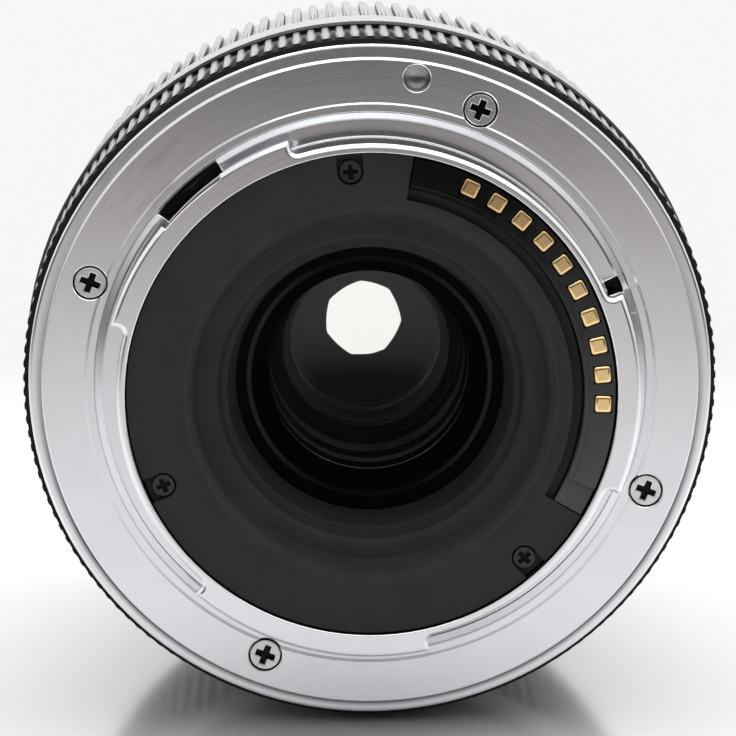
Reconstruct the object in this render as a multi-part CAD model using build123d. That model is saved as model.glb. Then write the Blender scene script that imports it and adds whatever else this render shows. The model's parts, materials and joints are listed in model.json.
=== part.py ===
from build123d import *
import os
from math import acos, asin, atan2, cos, degrees, hypot, pi, radians, sin, sqrt, tan

# Prime lens for a mirrorless camera, lying on its side with its rear towards -Y.
# The optical axis is Y. The seat of the mount flange is the plane y = 0, and the
# origin is the centre of that seat. Angles run counter-clockwise from +X as seen
# from the rear. Sizes are in millimetres and radii are measured from the axis.

os.makedirs("parts", exist_ok=True)

# Clearances
RUNNING = 0.05
SEAT_FIT = 0.05
FREE_GAP = 0.3
THIN_GAP = 0.1
CUT_PAST = 1.0

# Bayonet mount
THROAT_R = 21.95
SPIGOT_WALL = 0.81
SPIGOT_REACH = 4.5
LUG_HIGH = 1.34
LUG_THICK = 1.4
LUG_ROOT = 0.6
LUG_EDGE = 0.35
LUG_NOTCH_DEEP = 0.4
LUG_ARCS = ((107.7, 164.0), (228.5, 282.6), (338.0, 382.6))
FLOOR_GROOVE_ARC = (123.9, 140.0)
FLOOR_GROOVE_WIDE = 1.2
FLOOR_GROOVE_INSET = 0.2
FLOOR_POCKET_ARC = (20.8, 24.3)
FLOOR_POCKET_WIDE = 1.3
FLOOR_POCKET_STEP = 0.3
FLOOR_CUT_DEEP = 0.9
LUG_STOP_WIDE = 4.6
LUG_STOP_TURN = 1.9
FLANGE_R = 31.0
FLANGE_CHAMFER = 0.2
SEAT_INSET = 1.25
LEDGE_WIDE = 0.8
FLOOR_WIDE = 0.9
FLOOR_SLOPE_WIDE = 0.65
FLOOR_SLOPE_HIGH = 0.4
LEDGE_DROP = 0.25
FLOOR_DROP = 0.75
STEP_DROP = 0.73
RIM_END = 1.1
FLANGE_THICK = 2.2
PILOT_STEP = 1.8
LOCK_HOLE_R = 1.2
LOCK_HOLE_INSET = 2.7
LOCK_HOLE_ANGLE = 81.7
LOCK_HOLE_DEEP = 1.5
SHIM_THICK = 0.3
SHIM_INSET = 0.3

# Mount screws
MOUNT_SCREW_COUNT = 4
MOUNT_SCREW_INSET = 4.0
MOUNT_SCREW_START = 68.85
MOUNT_SCREW_HEAD_R = 1.4
MOUNT_SCREW_HEAD_HIGH = 1.0
MOUNT_SCREW_SHANK_R = 0.8
MOUNT_SCREW_LONG = 6.0
MOUNT_SCREW_SINK = 0.12
SCREW_HEAD_GAP = 0.15
SCREW_HOLE_GAP = 0.1
RECESS_SHARE = 0.65
RECESS_WIDE_SHARE = 0.2
RECESS_DEEP_SHARE = 0.55

# Outer barrel
GRIP_WALL = 1.4
GRIP_FLARE = 0.3
GRIP_CHAMFER = 0.45
GRIP_END = 10.7
GRIP_RIM_LONG = 0.5
GRIP_TOOTH_DEEP = 0.3
GRIP_TOOTH_END_DEEP = 0.18
GRIP_TEETH = 150
GRIP_GAP_SHARE = 0.6
COLLAR_WALL = 0.95
GROOVE_LONG = 0.35
GROOVE_DEEP = 0.8
BAND_PROUD = 0.3
BAND_EDGE = 0.25
BAND_END = 18.2
FRAME_GAP = 0.6
REAR_WALL_THICK = 5.5
SLEEVE_WALL = 1.6
SLEEVE_GAP = 0.4
INNER_FLANGE_THICK = 2.0

# Focus ring
FOCUS_RING_LONG = 18.5
FOCUS_RING_WALL = 2.2
RIB_COUNT = 120
RIB_DEEP = 0.7
RIB_SHARE = 0.5
RIB_ROUND = 0.22
BEARING_LONG = 1.6
BEARING_SEAT_DEEP = 0.3
BEARING_INSET = 0.9
STRIP_THICK = 0.2
STRIP_LONG = 4.0
STRIP_START = 25.0
SENSOR_WIDE = 5.0
SENSOR_LONG = 4.0
SENSOR_FOOT = 2.4
SENSOR_ANGLE = 270.0

# Inner frame
FRAME_SPACE = 3.4
FRAME_WALL = 1.8
FRAME_END = 46.0
FRAME_FLANGE_INSET = 1.6
FRAME_FLANGE_THICK = 1.6
FRAME_REAR_START = 4.2
FRAME_REAR_THICK = 1.4
WEB_START = 16.0
WEB_THICK = 1.4
FRONT_LEDGE_START = 42.6
FRONT_LEDGE_THICK = 1.4
FRONT_LEDGE_WIDE = 1.6
SEAT_OVERLAP = 0.5
ROD_FIT = 0.02
BARREL_SCREW_COUNT = 3
BARREL_SCREW_START = 30.0
FRONT_SCREW_START = 90.0
SMALL_HEAD_R = 1.0
SMALL_HEAD_HIGH = 0.6
SMALL_SHANK_R = 0.5
SMALL_HEAD_SINK = 0.05
BARREL_SCREW_LONG = 2.2
BARREL_SCREW_HOLE_DEEP = 1.5

# Rear baffle
BAFFLE_FACE = -4.0
BAFFLE_THICK = 1.2
BAFFLE_RIM_STEP = 0.6
WELL_BEVEL = 0.8
WELL_BEVEL_DEEP = 0.5
WELL_SLOPE = 1.8
WELL_STEP_Y = -1.4
WELL_STEP_WIDE = 1.4
WELL_EDGE = 0.4
WELL_LEDGE_WIDE = 0.7
WELL_SINK_Y = 0.0
WELL_SINK_WIDE = 0.5
WELL_CONE_STEP = 0.7
WELL_END_Y = 3.8
WELL_WALL = 0.9
BAFFLE_SCREW_INSET = 1.65
BAFFLE_SCREW_ANGLES = (95.3, 203.2, 312.8)
BAFFLE_SCREW_LONG = 3.2
BAFFLE_HEAD_SINK = 0.15
POST_R = 1.3

# Contacts
BLOCK_FACE = -4.3
BLOCK_FRONT = -1.6
BLOCK_WIDE = 2.95
BLOCK_GROOVE_WIDE = 1.0
BLOCK_GROOVE_DEEP = 0.7
BLOCK_RIDGE_WIDE = 0.35
BLOCK_RIDGE_HIGH = 0.2
BLOCK_ARC = (337.0, 440.2)
BLOCK_TAB_LONG = 7.4
BLOCK_TAB_DROP = 0.35
PIN_COUNT = 10
PIN_INSET = 1.3
PIN_START = 65.2
PIN_PITCH = 7.45
PIN_WIDE = 1.6
PIN_PROUD = 0.12
PIN_FIT = 0.02
CONTACT_FLEX_THICK = 0.15
CONTACT_FLEX_ARC = (18.0, 48.0)

# Main board
BOARD_START = 2.8
BOARD_THICK = 0.8
BOARD_INSET = 1.2
BOARD_WELL_GAP = 0.8
BOARD_SUPPORT_R = 1.2
BOARD_SCREW_INSET = 2.2
BOARD_SCREW_ANGLES = (60.0, 150.0, 330.0)
CHIP_HIGH = 0.9
CHIP_SIDE = 3.6
CHIP_INSET = 2.75
CHIP_ANGLES = (128.0, 165.0, 235.0, 268.0)

# Rear optical group
DRIVE_SPACE = 9.4
REAR_CELL_START = 4.6
REAR_CELL_END = 18.8
REAR_CELL_FLANGE_WIDE = 1.0
REAR_CELL_WALL = 2.0
REAR_RING_INSET = 0.3
REAR_RING_LIP = 0.4
REAR_RING_EDGE = 0.5
REAR_GLASS_SEAT = 1.95
REAR_GLASS_START = 8.3
REAR_GLASS_THICK = 2.6
REAR_GLASS_SAG = 0.8
REAR_GLASS_FRONT_SAG = 0.5
REAR_SPACER_LONG = 2.0
REAR_INNER_THICK = 2.4
REAR_INNER_SAG = 0.7
REAR_STOP_WIDE = 2.1

# Focus group
FOCUS_TRAVEL = 5.0
FOCUS_CELL_R = 10.2
FOCUS_CELL_WALL = 1.3
FOCUS_CELL_START = 20.4
FOCUS_CELL_LONG = 5.2
FOCUS_GLASS_THICK = 2.2
FOCUS_GLASS_SAG = 0.6
FOCUS_RING_THICK = 1.0
FOCUS_GLASS_SEAT = 1.0
FOCUS_STOP_WIDE = 1.8
ROD_R = 1.0
ROD_INSET = 4.3
ROD_ANGLES = (0.0, 180.0)
BUSH_R = 2.1
ARM_WIDE = 3.2
ARM_THICK = 1.8
SCREW_INSET = 5.2
SCREW_ANGLE = 270.0
LEAD_R = 1.0
LEAD_PITCH = 1.0
LEAD_THREAD_DEEP = 0.15
LEAD_JOURNAL_R = 0.7
NUT_SIDE = 4.0
NUT_LONG = 3.4
MOTOR_R = 3.4
MOTOR_LONG = 8.5
MOTOR_CAP_LONG = 1.0
MOTOR_CAP_R = 2.6
MOTOR_SHAFT_DEEP = 2.0
ROD_SEAT_DEEP = 0.6

# Iris
BLADE_COUNT = 7
BLADE_THICK = 0.1
BLADE_GAP = 0.02
BLADE_WIDE = 5.9
BLADE_PIVOT_STEP = 1.6
BLADE_SPAN = (-6.0, 104.0)
PIVOT_INSET = 1.8
DRIVE_INSET = 0.2
DRIVE_LEAD = 10.0
BLADE_PIN_R = 0.4
EAR_WIDE = 1.8
BLADE_START_ANGLE = 26.4
REST_APERTURE_R = 3.5
SMALL_APERTURE_R = 1.0
BLADE_PER_RING = 0.8
IRIS_BASE_START = 31.6
IRIS_BASE_THICK = 1.0
IRIS_HOLE_STEP = 0.7
IRIS_LEDGE_WIDE = 0.9
IRIS_LEDGE_THICK = 0.7
IRIS_RING_LAND = 2.1
IRIS_RING_TOOTH_STEP = 0.55
IRIS_RING_THICK = 0.9
IRIS_COVER_THICK = 0.6
IRIS_COVER_INSET = 2.4
IRIS_LIP_WALL = 0.4
IRIS_POST_R = 1.0
IRIS_POST_INSET = 3.8
IRIS_POST_ANGLES = (30.0, 150.0, 270.0)
PINION_INSET = 3.6
RING_TEETH = 84
RING_TEETH_CUT = 17
PINION_TEETH = 12
GEAR_BACKLASH = 0.06
GEAR_ADDENDUM_SHARE = 0.75
GEAR_ROOT_SHARE = 1.15
PINION_ANGLE = 240.0
PINION_SHAFT_R = 0.5
PINION_SHAFT_DEEP = 1.5
GEAR_PRESSURE = 20.0
GEAR_STEPS = 4
SLOT_GAP = 0.1
IRIS_MOTOR_R = 2.7
IRIS_MOTOR_LONG = 6.5

# Motor flex
MOTOR_FLEX_THICK = 0.15
MOTOR_FLEX_ARC = (286.0, 294.0)
MOTOR_FLEX_NOTCH = 0.8
MOTOR_FLEX_BRANCH = 2.0

# Front optical group
FRONT_CELL_START = 35.6
FRONT_CELL_STEP = 3.2
FRONT_CELL_WALL = 1.8
FRONT_FLANGE_THICK = 1.6
FRONT_CELL_HEAD_GAP = 2.6
FRONT_CELL_HEAD_WALL = 2.4
FRONT_INNER_START = 38.4
FRONT_INNER_THICK = 2.6
FRONT_INNER_SAG = 0.7
FRONT_SPACER_LONG = 2.2
FRONT_MID_THICK = 3.2
FRONT_MID_SAG = 1.6
FRONT_STOP_WIDE = 1.4
FRONT_GLASS_THICK = 2.0
FRONT_GLASS_SAG = 2.0
FRONT_GLASS_REAR_SAG = 1.9
FRONT_SEAT_LONG = 1.0
FRONT_GLASS_EDGE = 1.0

# Front barrel
LENGTH = 54.0
FRONT_STEP = 1.2
FRONT_SHOULDER_END = 46.5
FRONT_EDGE = 0.3
HOOD_STEP = 2.6
HOOD_SLOPE_LONG = 1.6
HOOD_LUG_HIGH = 0.8
HOOD_LUG_LONG = 1.4
HOOD_LUG_END = 51.6
HOOD_LUG_ARCS = ((62.0, 118.0), (182.0, 238.0), (302.0, 358.0))
FRONT_WALL = 1.8
FRONT_PLATE_THICK = 1.6
FILTER_RIM_WIDE = 3.9
FILTER_THREAD_DEEP = 0.4
FILTER_PITCH = 0.75
FILTER_TURNS = 4
FILTER_LEAD_IN = 0.5
FILTER_CREST_SHARE = 0.25
FILTER_ROOT_SHARE = 0.125
TRIM_INSET = 0.6
TRIM_THICK = 0.9
TRIM_RIM_LONG = 1.1
TRIM_RIM_WALL = 0.5

# Derived radii
SPIGOT_R = THROAT_R + SPIGOT_WALL
LUG_R = SPIGOT_R + LUG_HIGH
LEDGE_INNER_R = LUG_R + FLOOR_WIDE
SEAT_INNER_R = LEDGE_INNER_R + LEDGE_WIDE
SEAT_OUTER_R = FLANGE_R - SEAT_INSET
MOUNT_SCREW_REACH = FLANGE_R - MOUNT_SCREW_INSET
LOCK_HOLE_REACH = FLANGE_R - LOCK_HOLE_INSET
PILOT_R = FLANGE_R - PILOT_STEP
GRIP_SEAT_R = PILOT_R + SEAT_FIT + COLLAR_WALL
GRIP_REAR_R = GRIP_SEAT_R + GRIP_WALL
GRIP_FRONT_R = GRIP_REAR_R + GRIP_FLARE
BAND_R = GRIP_FRONT_R + BAND_PROUD
RIB_R = BAND_R
RIB_ROOT_R = RIB_R - RIB_DEEP
FOCUS_RING_BORE_R = RIB_R - FOCUS_RING_WALL
SLEEVE_R = FOCUS_RING_BORE_R - SLEEVE_GAP
MIDDLE_BORE_R = SLEEVE_R - SLEEVE_WALL
FRAME_R = MIDDLE_BORE_R - FRAME_SPACE
FRAME_BORE_R = FRAME_R - FRAME_WALL
BARREL_BORE_R = FRAME_R + FRAME_GAP
FRAME_FLANGE_R = SLEEVE_R - FRAME_FLANGE_INSET
BARREL_SCREW_REACH = (FRAME_R + FRAME_FLANGE_R) / 2
FRONT_BARREL_R = RIB_R - FRONT_STEP
HOOD_R = FRONT_BARREL_R - HOOD_STEP
HOOD_LUG_R = HOOD_R + HOOD_LUG_HIGH
FILTER_R = HOOD_R - FILTER_RIM_WIDE
TRIM_R = FILTER_R - TRIM_INSET
BAFFLE_R = THROAT_R - THIN_GAP
BLOCK_OUTER_R = BAFFLE_R - THIN_GAP
BLOCK_INNER_R = THROAT_R - BLOCK_WIDE
BLOCK_GROOVE_R = BLOCK_INNER_R - BLOCK_GROOVE_WIDE
PIN_REACH = THROAT_R - PIN_INSET
BAFFLE_SCREW_REACH = THROAT_R - BAFFLE_SCREW_INSET
BAFFLE_RIM_R = BLOCK_GROOVE_R - BAFFLE_RIM_STEP
WELL_STEP_R = BAFFLE_RIM_R - WELL_SLOPE
WELL_LEDGE_R = WELL_STEP_R - WELL_STEP_WIDE
WELL_SINK_R = WELL_LEDGE_R - WELL_LEDGE_WIDE
WELL_CONE_R = WELL_SINK_R - WELL_SINK_WIDE
WELL_END_R = WELL_CONE_R - WELL_CONE_STEP
ROD_REACH = FRAME_BORE_R - ROD_INSET
SCREW_REACH = FRAME_BORE_R - SCREW_INSET
REAR_CELL_R = FRAME_BORE_R - DRIVE_SPACE
REAR_CELL_FLANGE_R = REAR_CELL_R + REAR_CELL_FLANGE_WIDE
REAR_BORE_R = REAR_CELL_R - REAR_CELL_WALL
REAR_RING_MOUTH_R = REAR_BORE_R - REAR_RING_EDGE
REAR_CLEAR_R = REAR_BORE_R - REAR_GLASS_SEAT
REAR_STOP_R = REAR_BORE_R - REAR_STOP_WIDE
FOCUS_CELL_BORE_R = FOCUS_CELL_R - FOCUS_CELL_WALL
FOCUS_RING_CLEAR_R = FOCUS_CELL_BORE_R - FOCUS_GLASS_SEAT
FOCUS_CLEAR_R = FOCUS_CELL_BORE_R - FOCUS_STOP_WIDE
BOARD_R = FRAME_R - BOARD_INSET
BOARD_INNER_R = WELL_STEP_R + BOARD_WELL_GAP
BOARD_SCREW_REACH = BOARD_R - BOARD_SCREW_INSET
CHIP_REACH = THROAT_R - CHIP_INSET
IRIS_LEDGE_R = FRAME_BORE_R - IRIS_LEDGE_WIDE
IRIS_COVER_R = FRAME_BORE_R - IRIS_COVER_INSET
IRIS_POST_REACH = FRAME_BORE_R - IRIS_POST_INSET
PINION_REACH = FRAME_BORE_R - PINION_INSET
GEAR_MODULE = 2 * PINION_REACH / (RING_TEETH + PINION_TEETH)
RING_PITCH_R = GEAR_MODULE * RING_TEETH / 2
IRIS_RING_BODY_R = RING_PITCH_R - IRIS_RING_TOOTH_STEP
PIVOT_REACH = RING_PITCH_R - PIVOT_INSET
DRIVE_REACH = PIVOT_REACH - DRIVE_INSET
IRIS_RING_BORE_R = PIVOT_REACH - IRIS_RING_LAND
BLADE_OUTER_R = PIVOT_REACH - BLADE_PIVOT_STEP
BLADE_INNER_R = BLADE_OUTER_R - BLADE_WIDE
IRIS_HOLE_R = BLADE_INNER_R + IRIS_HOLE_STEP
FRONT_LEDGE_R = FRAME_BORE_R - FRONT_LEDGE_WIDE
FRONT_CELL_HEAD_R = FRONT_LEDGE_R - FRONT_CELL_HEAD_GAP
FRONT_CELL_R = FRONT_CELL_HEAD_R - FRONT_CELL_STEP
FRONT_BORE_R = FRONT_CELL_R - FRONT_CELL_WALL
FRONT_STOP_R = FRONT_BORE_R - FRONT_STOP_WIDE
FRONT_GLASS_R = FRONT_CELL_HEAD_R - FRONT_CELL_HEAD_WALL
FRONT_CLEAR_R = FRONT_GLASS_R - FRONT_GLASS_EDGE

# Derived places along the axis
SHIM_END = FLANGE_THICK + SHIM_THICK
BAND_START = GRIP_END + GROOVE_LONG
FRAME_REAR_END = FRAME_REAR_START + FRAME_REAR_THICK
WEB_END = WEB_START + WEB_THICK
MOTOR_END = WEB_START
FOCUS_RING_START = BAND_END + THIN_GAP
FOCUS_RING_END = FOCUS_RING_START + FOCUS_RING_LONG
SLEEVE_END = FOCUS_RING_END + THIN_GAP
FRAME_FLANGE_END = SLEEVE_END + FRAME_FLANGE_THICK
BAFFLE_FRONT = BAFFLE_FACE + BAFFLE_THICK
BOARD_END = BOARD_START + BOARD_THICK
LEVEL_PITCH = BLADE_THICK + BLADE_GAP
IRIS_BASE_END = IRIS_BASE_START + IRIS_BASE_THICK
BLADES_START = IRIS_BASE_END + THIN_GAP
BLADES_END = BLADES_START + BLADE_COUNT * LEVEL_PITCH
IRIS_RING_START = BLADES_END + THIN_GAP
IRIS_RING_END = IRIS_RING_START + IRIS_RING_THICK
IRIS_COVER_START = IRIS_RING_END + THIN_GAP
IRIS_COVER_END = IRIS_COVER_START + IRIS_COVER_THICK
FRONT_FLANGE_START = FRONT_LEDGE_START + FRONT_LEDGE_THICK
FRONT_PLATE_END = FRAME_FLANGE_END + FRONT_PLATE_THICK
FLEX_NOTCH_END = IRIS_BASE_END + SEAT_OVERLAP


# Shapes about the axis

def turned(*corners):
    """Solid of revolution about the optical axis from (radius, y) corners."""
    return revolve(make_face(Polyline(*corners, close=True)), Axis.Y)


def tube(inner, outer, start, end):
    return turned((inner, start), (outer, start), (outer, end), (inner, end))


def disc(radius, start, end):
    return turned((0, start), (radius, start), (radius, end), (0, end))


def sector(inner, outer, start, end, low, high):
    """Part of a tube between two angles."""
    corners = ((inner, start), (outer, start), (outer, end), (inner, end))
    face = make_face(Polyline(*corners, close=True))
    return Rot(Y=-high) * revolve(face, Axis.Y, high - low)


def spot(reach, angle, y=0.0):
    """Place at a radius and angle, turned so that its local X points outwards."""
    return Rot(Y=-angle) * Pos(reach, y, 0)


def rod(radius, start, end, reach=0.0, angle=0.0):
    """Round bar parallel to the axis."""
    upright = Cylinder(radius, end - start, align=(Align.CENTER, Align.CENTER, Align.MIN))
    return spot(reach, angle, start) * Rot(X=-90) * upright


def brick(deep, wide, start, end, reach, angle):
    """Block whose radial depth is centred on a radius, between two places on the axis."""
    middle = (start + end) / 2
    return spot(reach, angle, middle) * Box(deep, end - start, wide)


def spread(count, first):
    """Evenly spaced angles."""
    return [first + 360 / count * number for number in range(count)]


def polar(radius, angle):
    return (radius * cos(radians(angle)), radius * sin(radians(angle)))


def plate(points, start, end):
    """Flat outline in the plane across the axis, given as (x, z), extruded along y."""
    face = make_face(Polyline(*points, close=True))
    solid = extrude(face, end - start, dir=(0, 0, 1))
    return Pos(0, end, 0) * Rot(X=90) * solid


def screw(head_r, head_high, shank_r, length, top, reach, angle, towards=1):
    """Cross-recess screw whose head top lies at y = top and whose shank points along y."""
    head_end = top + towards * head_high
    tip = head_end + towards * length
    head = rod(head_r, min(top, head_end), max(top, head_end), reach, angle)
    shank = rod(shank_r, min(head_end, tip), max(head_end, tip), reach, angle)
    deep = head_high * RECESS_DEEP_SHARE
    slot_end = top + towards * deep
    low, high = min(top, slot_end), max(top, slot_end)
    long_side = 2 * head_r * RECESS_SHARE
    short_side = 2 * head_r * RECESS_WIDE_SHARE
    body = head + shank
    body -= brick(long_side, short_side, low, high, reach, angle)
    body -= brick(short_side, long_side, low, high, reach, angle)
    return body


def lens_element(radius, clear_r, start, end, rear_sag, front_sag, rear_clear_r=None):
    """Glass disc with spherical faces inside flat rims; a positive sag bulges outwards."""
    rear_r = rear_clear_r or clear_r
    edges = [
        spherical_line(rear_r, start, -rear_sag),
        Line((rear_r, start), (radius, start)),
        Line((radius, start), (radius, end)),
        Line((radius, end), (clear_r, end)),
        spherical_line(clear_r, end, front_sag),
        Line((0, start - rear_sag), (0, end + front_sag)),
    ]
    return revolve(make_face(edges), Axis.Y)


def spherical_line(radius, edge, sag):
    """Half of a spherical face, from the axis to its edge."""
    ball = (radius ** 2 + sag ** 2) / (2 * abs(sag))
    half_drop = ball - sqrt(ball ** 2 - (radius / 2) ** 2)
    vertex = edge + sag
    middle = vertex - half_drop * (1 if sag > 0 else -1)
    return ThreePointArc((0, vertex), (radius / 2, middle), (radius, edge))


def write(name, solids):
    """Write one node; a list becomes a group of separate solids."""
    if isinstance(solids, list):
        solids = Compound(children=[piece for item in solids for piece in item.solids()])
    export_step(solids, os.path.join("parts", name + ".step"))


# Mount

def bayonet_mount():
    """Plated ring with the seat, the register tube and its three lugs."""
    lug_end = -SPIGOT_REACH + LUG_THICK
    body = turned(
        (THROAT_R, lug_end),
        (SPIGOT_R, lug_end),
        (SPIGOT_R, FLOOR_DROP),
        (LEDGE_INNER_R - FLOOR_SLOPE_WIDE, FLOOR_DROP),
        (LEDGE_INNER_R, FLOOR_DROP - FLOOR_SLOPE_HIGH),
        (LEDGE_INNER_R, LEDGE_DROP),
        (SEAT_INNER_R, LEDGE_DROP),
        (SEAT_INNER_R, 0),
        (SEAT_OUTER_R, 0),
        (SEAT_OUTER_R, STEP_DROP),
        (FLANGE_R - FLANGE_CHAMFER, STEP_DROP),
        (FLANGE_R, STEP_DROP + FLANGE_CHAMFER),
        (FLANGE_R, RIM_END),
        (PILOT_R, RIM_END),
        (PILOT_R, FLANGE_THICK),
        (THROAT_R, FLANGE_THICK),
    )
    body += tube_end(lug_end)
    body += lug_stop(LUG_ARCS[2][1], lug_end)
    cut_end = FLOOR_DROP + FLOOR_CUT_DEEP
    groove_r = LEDGE_INNER_R - FLOOR_GROOVE_INSET
    body -= sector(groove_r - FLOOR_GROOVE_WIDE, groove_r, 0, cut_end, *FLOOR_GROOVE_ARC)
    notch_r = LUG_R - LUG_NOTCH_DEEP
    body -= sector(notch_r, LUG_R + CUT_PAST, -SPIGOT_REACH - CUT_PAST, 0, *FLOOR_GROOVE_ARC)
    pocket_r = LUG_R + FLOOR_POCKET_STEP
    body -= sector(pocket_r - FLOOR_POCKET_WIDE, pocket_r, 0, cut_end, *FLOOR_POCKET_ARC)
    body -= rod(LOCK_HOLE_R, 0, LOCK_HOLE_DEEP, LOCK_HOLE_REACH, LOCK_HOLE_ANGLE)
    for angle in spread(MOUNT_SCREW_COUNT, MOUNT_SCREW_START):
        seat = MOUNT_SCREW_SINK + MOUNT_SCREW_HEAD_HIGH
        head_hole = MOUNT_SCREW_HEAD_R + SCREW_HEAD_GAP
        body -= rod(head_hole, -LEDGE_DROP, seat, MOUNT_SCREW_REACH, angle)
        hole = MOUNT_SCREW_SHANK_R + SCREW_HOLE_GAP
        body -= rod(hole, seat, FLANGE_THICK, MOUNT_SCREW_REACH, angle)
    return body


def tube_end(lug_end):
    """Rear end of the register tube with its lugs, all its outer edges bevelled."""
    body = disc(SPIGOT_R, -SPIGOT_REACH, lug_end)
    for low, high in LUG_ARCS:
        body += sector(THROAT_R, LUG_R, -SPIGOT_REACH, lug_end, low, high)
    upright = body.edges().filter_by(Axis.Y)
    roots = [edge for edge in upright if from_axis(edge) < SPIGOT_R + THIN_GAP]
    body = fillet(roots, LUG_ROOT)
    body = chamfer(body.faces().sort_by(Axis.Y)[0].edges(), LUG_EDGE)
    return body - disc(THROAT_R, -SPIGOT_REACH, lug_end)


def from_axis(edge):
    """Distance of an edge's middle from the optical axis."""
    return hypot(edge.center().X, edge.center().Z)


def lug_stop(angle, lug_end):
    """Stop wall behind a lug, from the lug to the flange floor."""
    inner = (SPIGOT_R + THROAT_R) / 2
    width = degrees(LUG_STOP_WIDE / LUG_R) / 2
    return sector(inner, LUG_R, lug_end - THIN_GAP, FLOOR_DROP, angle - width - LUG_STOP_TURN,
                  angle - LUG_STOP_TURN)


def mount_screws():
    return [
        screw(MOUNT_SCREW_HEAD_R, MOUNT_SCREW_HEAD_HIGH, MOUNT_SCREW_SHANK_R,
              MOUNT_SCREW_LONG, MOUNT_SCREW_SINK, MOUNT_SCREW_REACH, angle)
        for angle in spread(MOUNT_SCREW_COUNT, MOUNT_SCREW_START)
    ]


def mount_shim():
    """Thin ring that sets the distance of the mount from the barrel."""
    body = tube(BARREL_BORE_R, PILOT_R - SHIM_INSET, FLANGE_THICK, SHIM_END)
    for angle in spread(MOUNT_SCREW_COUNT, MOUNT_SCREW_START):
        hole = MOUNT_SCREW_SHANK_R + SCREW_HOLE_GAP
        body -= rod(hole, FLANGE_THICK, SHIM_END, MOUNT_SCREW_REACH, angle)
    return body


# Outer barrel

def rear_barrel():
    """Fixed shell: rear wall for the mount, smooth band and the sleeve under the focus ring."""
    rear_wall_end = SHIM_END + REAR_WALL_THICK
    flange_start = SLEEVE_END - INNER_FLANGE_THICK
    body = turned(
        (PILOT_R + SEAT_FIT, RIM_END),
        (GRIP_SEAT_R, RIM_END),
        (GRIP_SEAT_R, GRIP_END),
        (BAND_R - GROOVE_DEEP, GRIP_END),
        (BAND_R - GROOVE_DEEP, BAND_START),
        (BAND_R - BAND_EDGE, BAND_START),
        (BAND_R, BAND_START + BAND_EDGE),
        (BAND_R, BAND_END),
        (SLEEVE_R, BAND_END),
        (SLEEVE_R, SLEEVE_END),
        (BARREL_BORE_R, SLEEVE_END),
        (BARREL_BORE_R, flange_start),
        (MIDDLE_BORE_R, flange_start),
        (MIDDLE_BORE_R, rear_wall_end),
        (BARREL_BORE_R, rear_wall_end),
        (BARREL_BORE_R, SHIM_END),
        (PILOT_R + SEAT_FIT, SHIM_END),
    )
    hole_end = MOUNT_SCREW_SINK + MOUNT_SCREW_HEAD_HIGH + MOUNT_SCREW_LONG + FREE_GAP
    for angle in spread(MOUNT_SCREW_COUNT, MOUNT_SCREW_START):
        body -= rod(MOUNT_SCREW_SHANK_R + RUNNING, SHIM_END, hole_end, MOUNT_SCREW_REACH, angle)
    hole_start = SLEEVE_END - BARREL_SCREW_HOLE_DEEP
    for first in (BARREL_SCREW_START, FRONT_SCREW_START):
        for angle in spread(BARREL_SCREW_COUNT, first):
            body -= rod(SMALL_SHANK_R + RUNNING, hole_start, SLEEVE_END, BARREL_SCREW_REACH, angle)
    for start in bearing_places():
        body -= tube(SLEEVE_R - BEARING_SEAT_DEEP, SLEEVE_R + FREE_GAP, start, start + BEARING_LONG)
    body -= sensor_block(THIN_GAP)
    return body


def bearing_places():
    first = FOCUS_RING_START + BEARING_INSET
    last = SLEEVE_END - BEARING_INSET - BEARING_LONG
    return (first, last)


def ring_bearings():
    """Two low-friction bands that the focus ring turns on."""
    outer = FOCUS_RING_BORE_R - RUNNING
    inner = SLEEVE_R - BEARING_SEAT_DEEP
    return [tube(inner, outer, start, start + BEARING_LONG) for start in bearing_places()]


def grip_outline(tip_r, deep):
    """Outline of the fine teeth with notches of the given depth, as (x, z) points."""
    pitch = 360 / GRIP_TEETH
    half_gap = pitch * GRIP_GAP_SHARE / 2
    half_floor = half_gap / 2
    points = []
    for number in range(GRIP_TEETH):
        middle = number * pitch
        points.append(polar(tip_r, middle - half_gap))
        points.append(polar(tip_r - deep, middle - half_floor))
        points.append(polar(tip_r - deep, middle + half_floor))
        points.append(polar(tip_r, middle + half_gap))
    return points


def outline_face(points, y):
    wire = Polyline(*[(x, y, z) for x, z in points], close=True)
    return make_face(wire)


def grip_ring():
    """Finely toothed ring behind the mount, slightly wider at its front."""
    teeth_start = RIM_END + GRIP_CHAMFER + GRIP_RIM_LONG
    teeth = loft([
        outline_face(grip_outline(GRIP_REAR_R, GRIP_TOOTH_END_DEEP), teeth_start),
        outline_face(grip_outline(GRIP_FRONT_R, GRIP_TOOTH_DEEP), GRIP_END),
    ], ruled=True)
    rim_r = GRIP_REAR_R - GRIP_TOOTH_END_DEEP
    rim = turned(
        (0, RIM_END),
        (rim_r - GRIP_CHAMFER, RIM_END),
        (rim_r, RIM_END + GRIP_CHAMFER),
        (rim_r, teeth_start),
        (0, teeth_start),
    )
    return teeth + rim - disc(GRIP_SEAT_R + SEAT_FIT, RIM_END - 1, GRIP_END + 1)


def rib_outline():
    """Outline of the coarse ribs with rounded tips, as (x, z) points."""
    pitch = 360 / RIB_COUNT
    half_rib = pitch * RIB_SHARE / 2
    round_angle = degrees(RIB_ROUND / RIB_R)
    points = []
    for number in range(RIB_COUNT):
        middle = number * pitch
        points.append(polar(RIB_ROOT_R, middle - half_rib))
        points.append(polar(RIB_R - RIB_ROUND, middle - half_rib))
        points.append(polar(RIB_R, middle - half_rib + round_angle))
        points.append(polar(RIB_R, middle + half_rib - round_angle))
        points.append(polar(RIB_R - RIB_ROUND, middle + half_rib))
        points.append(polar(RIB_ROOT_R, middle + half_rib))
    return points


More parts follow.
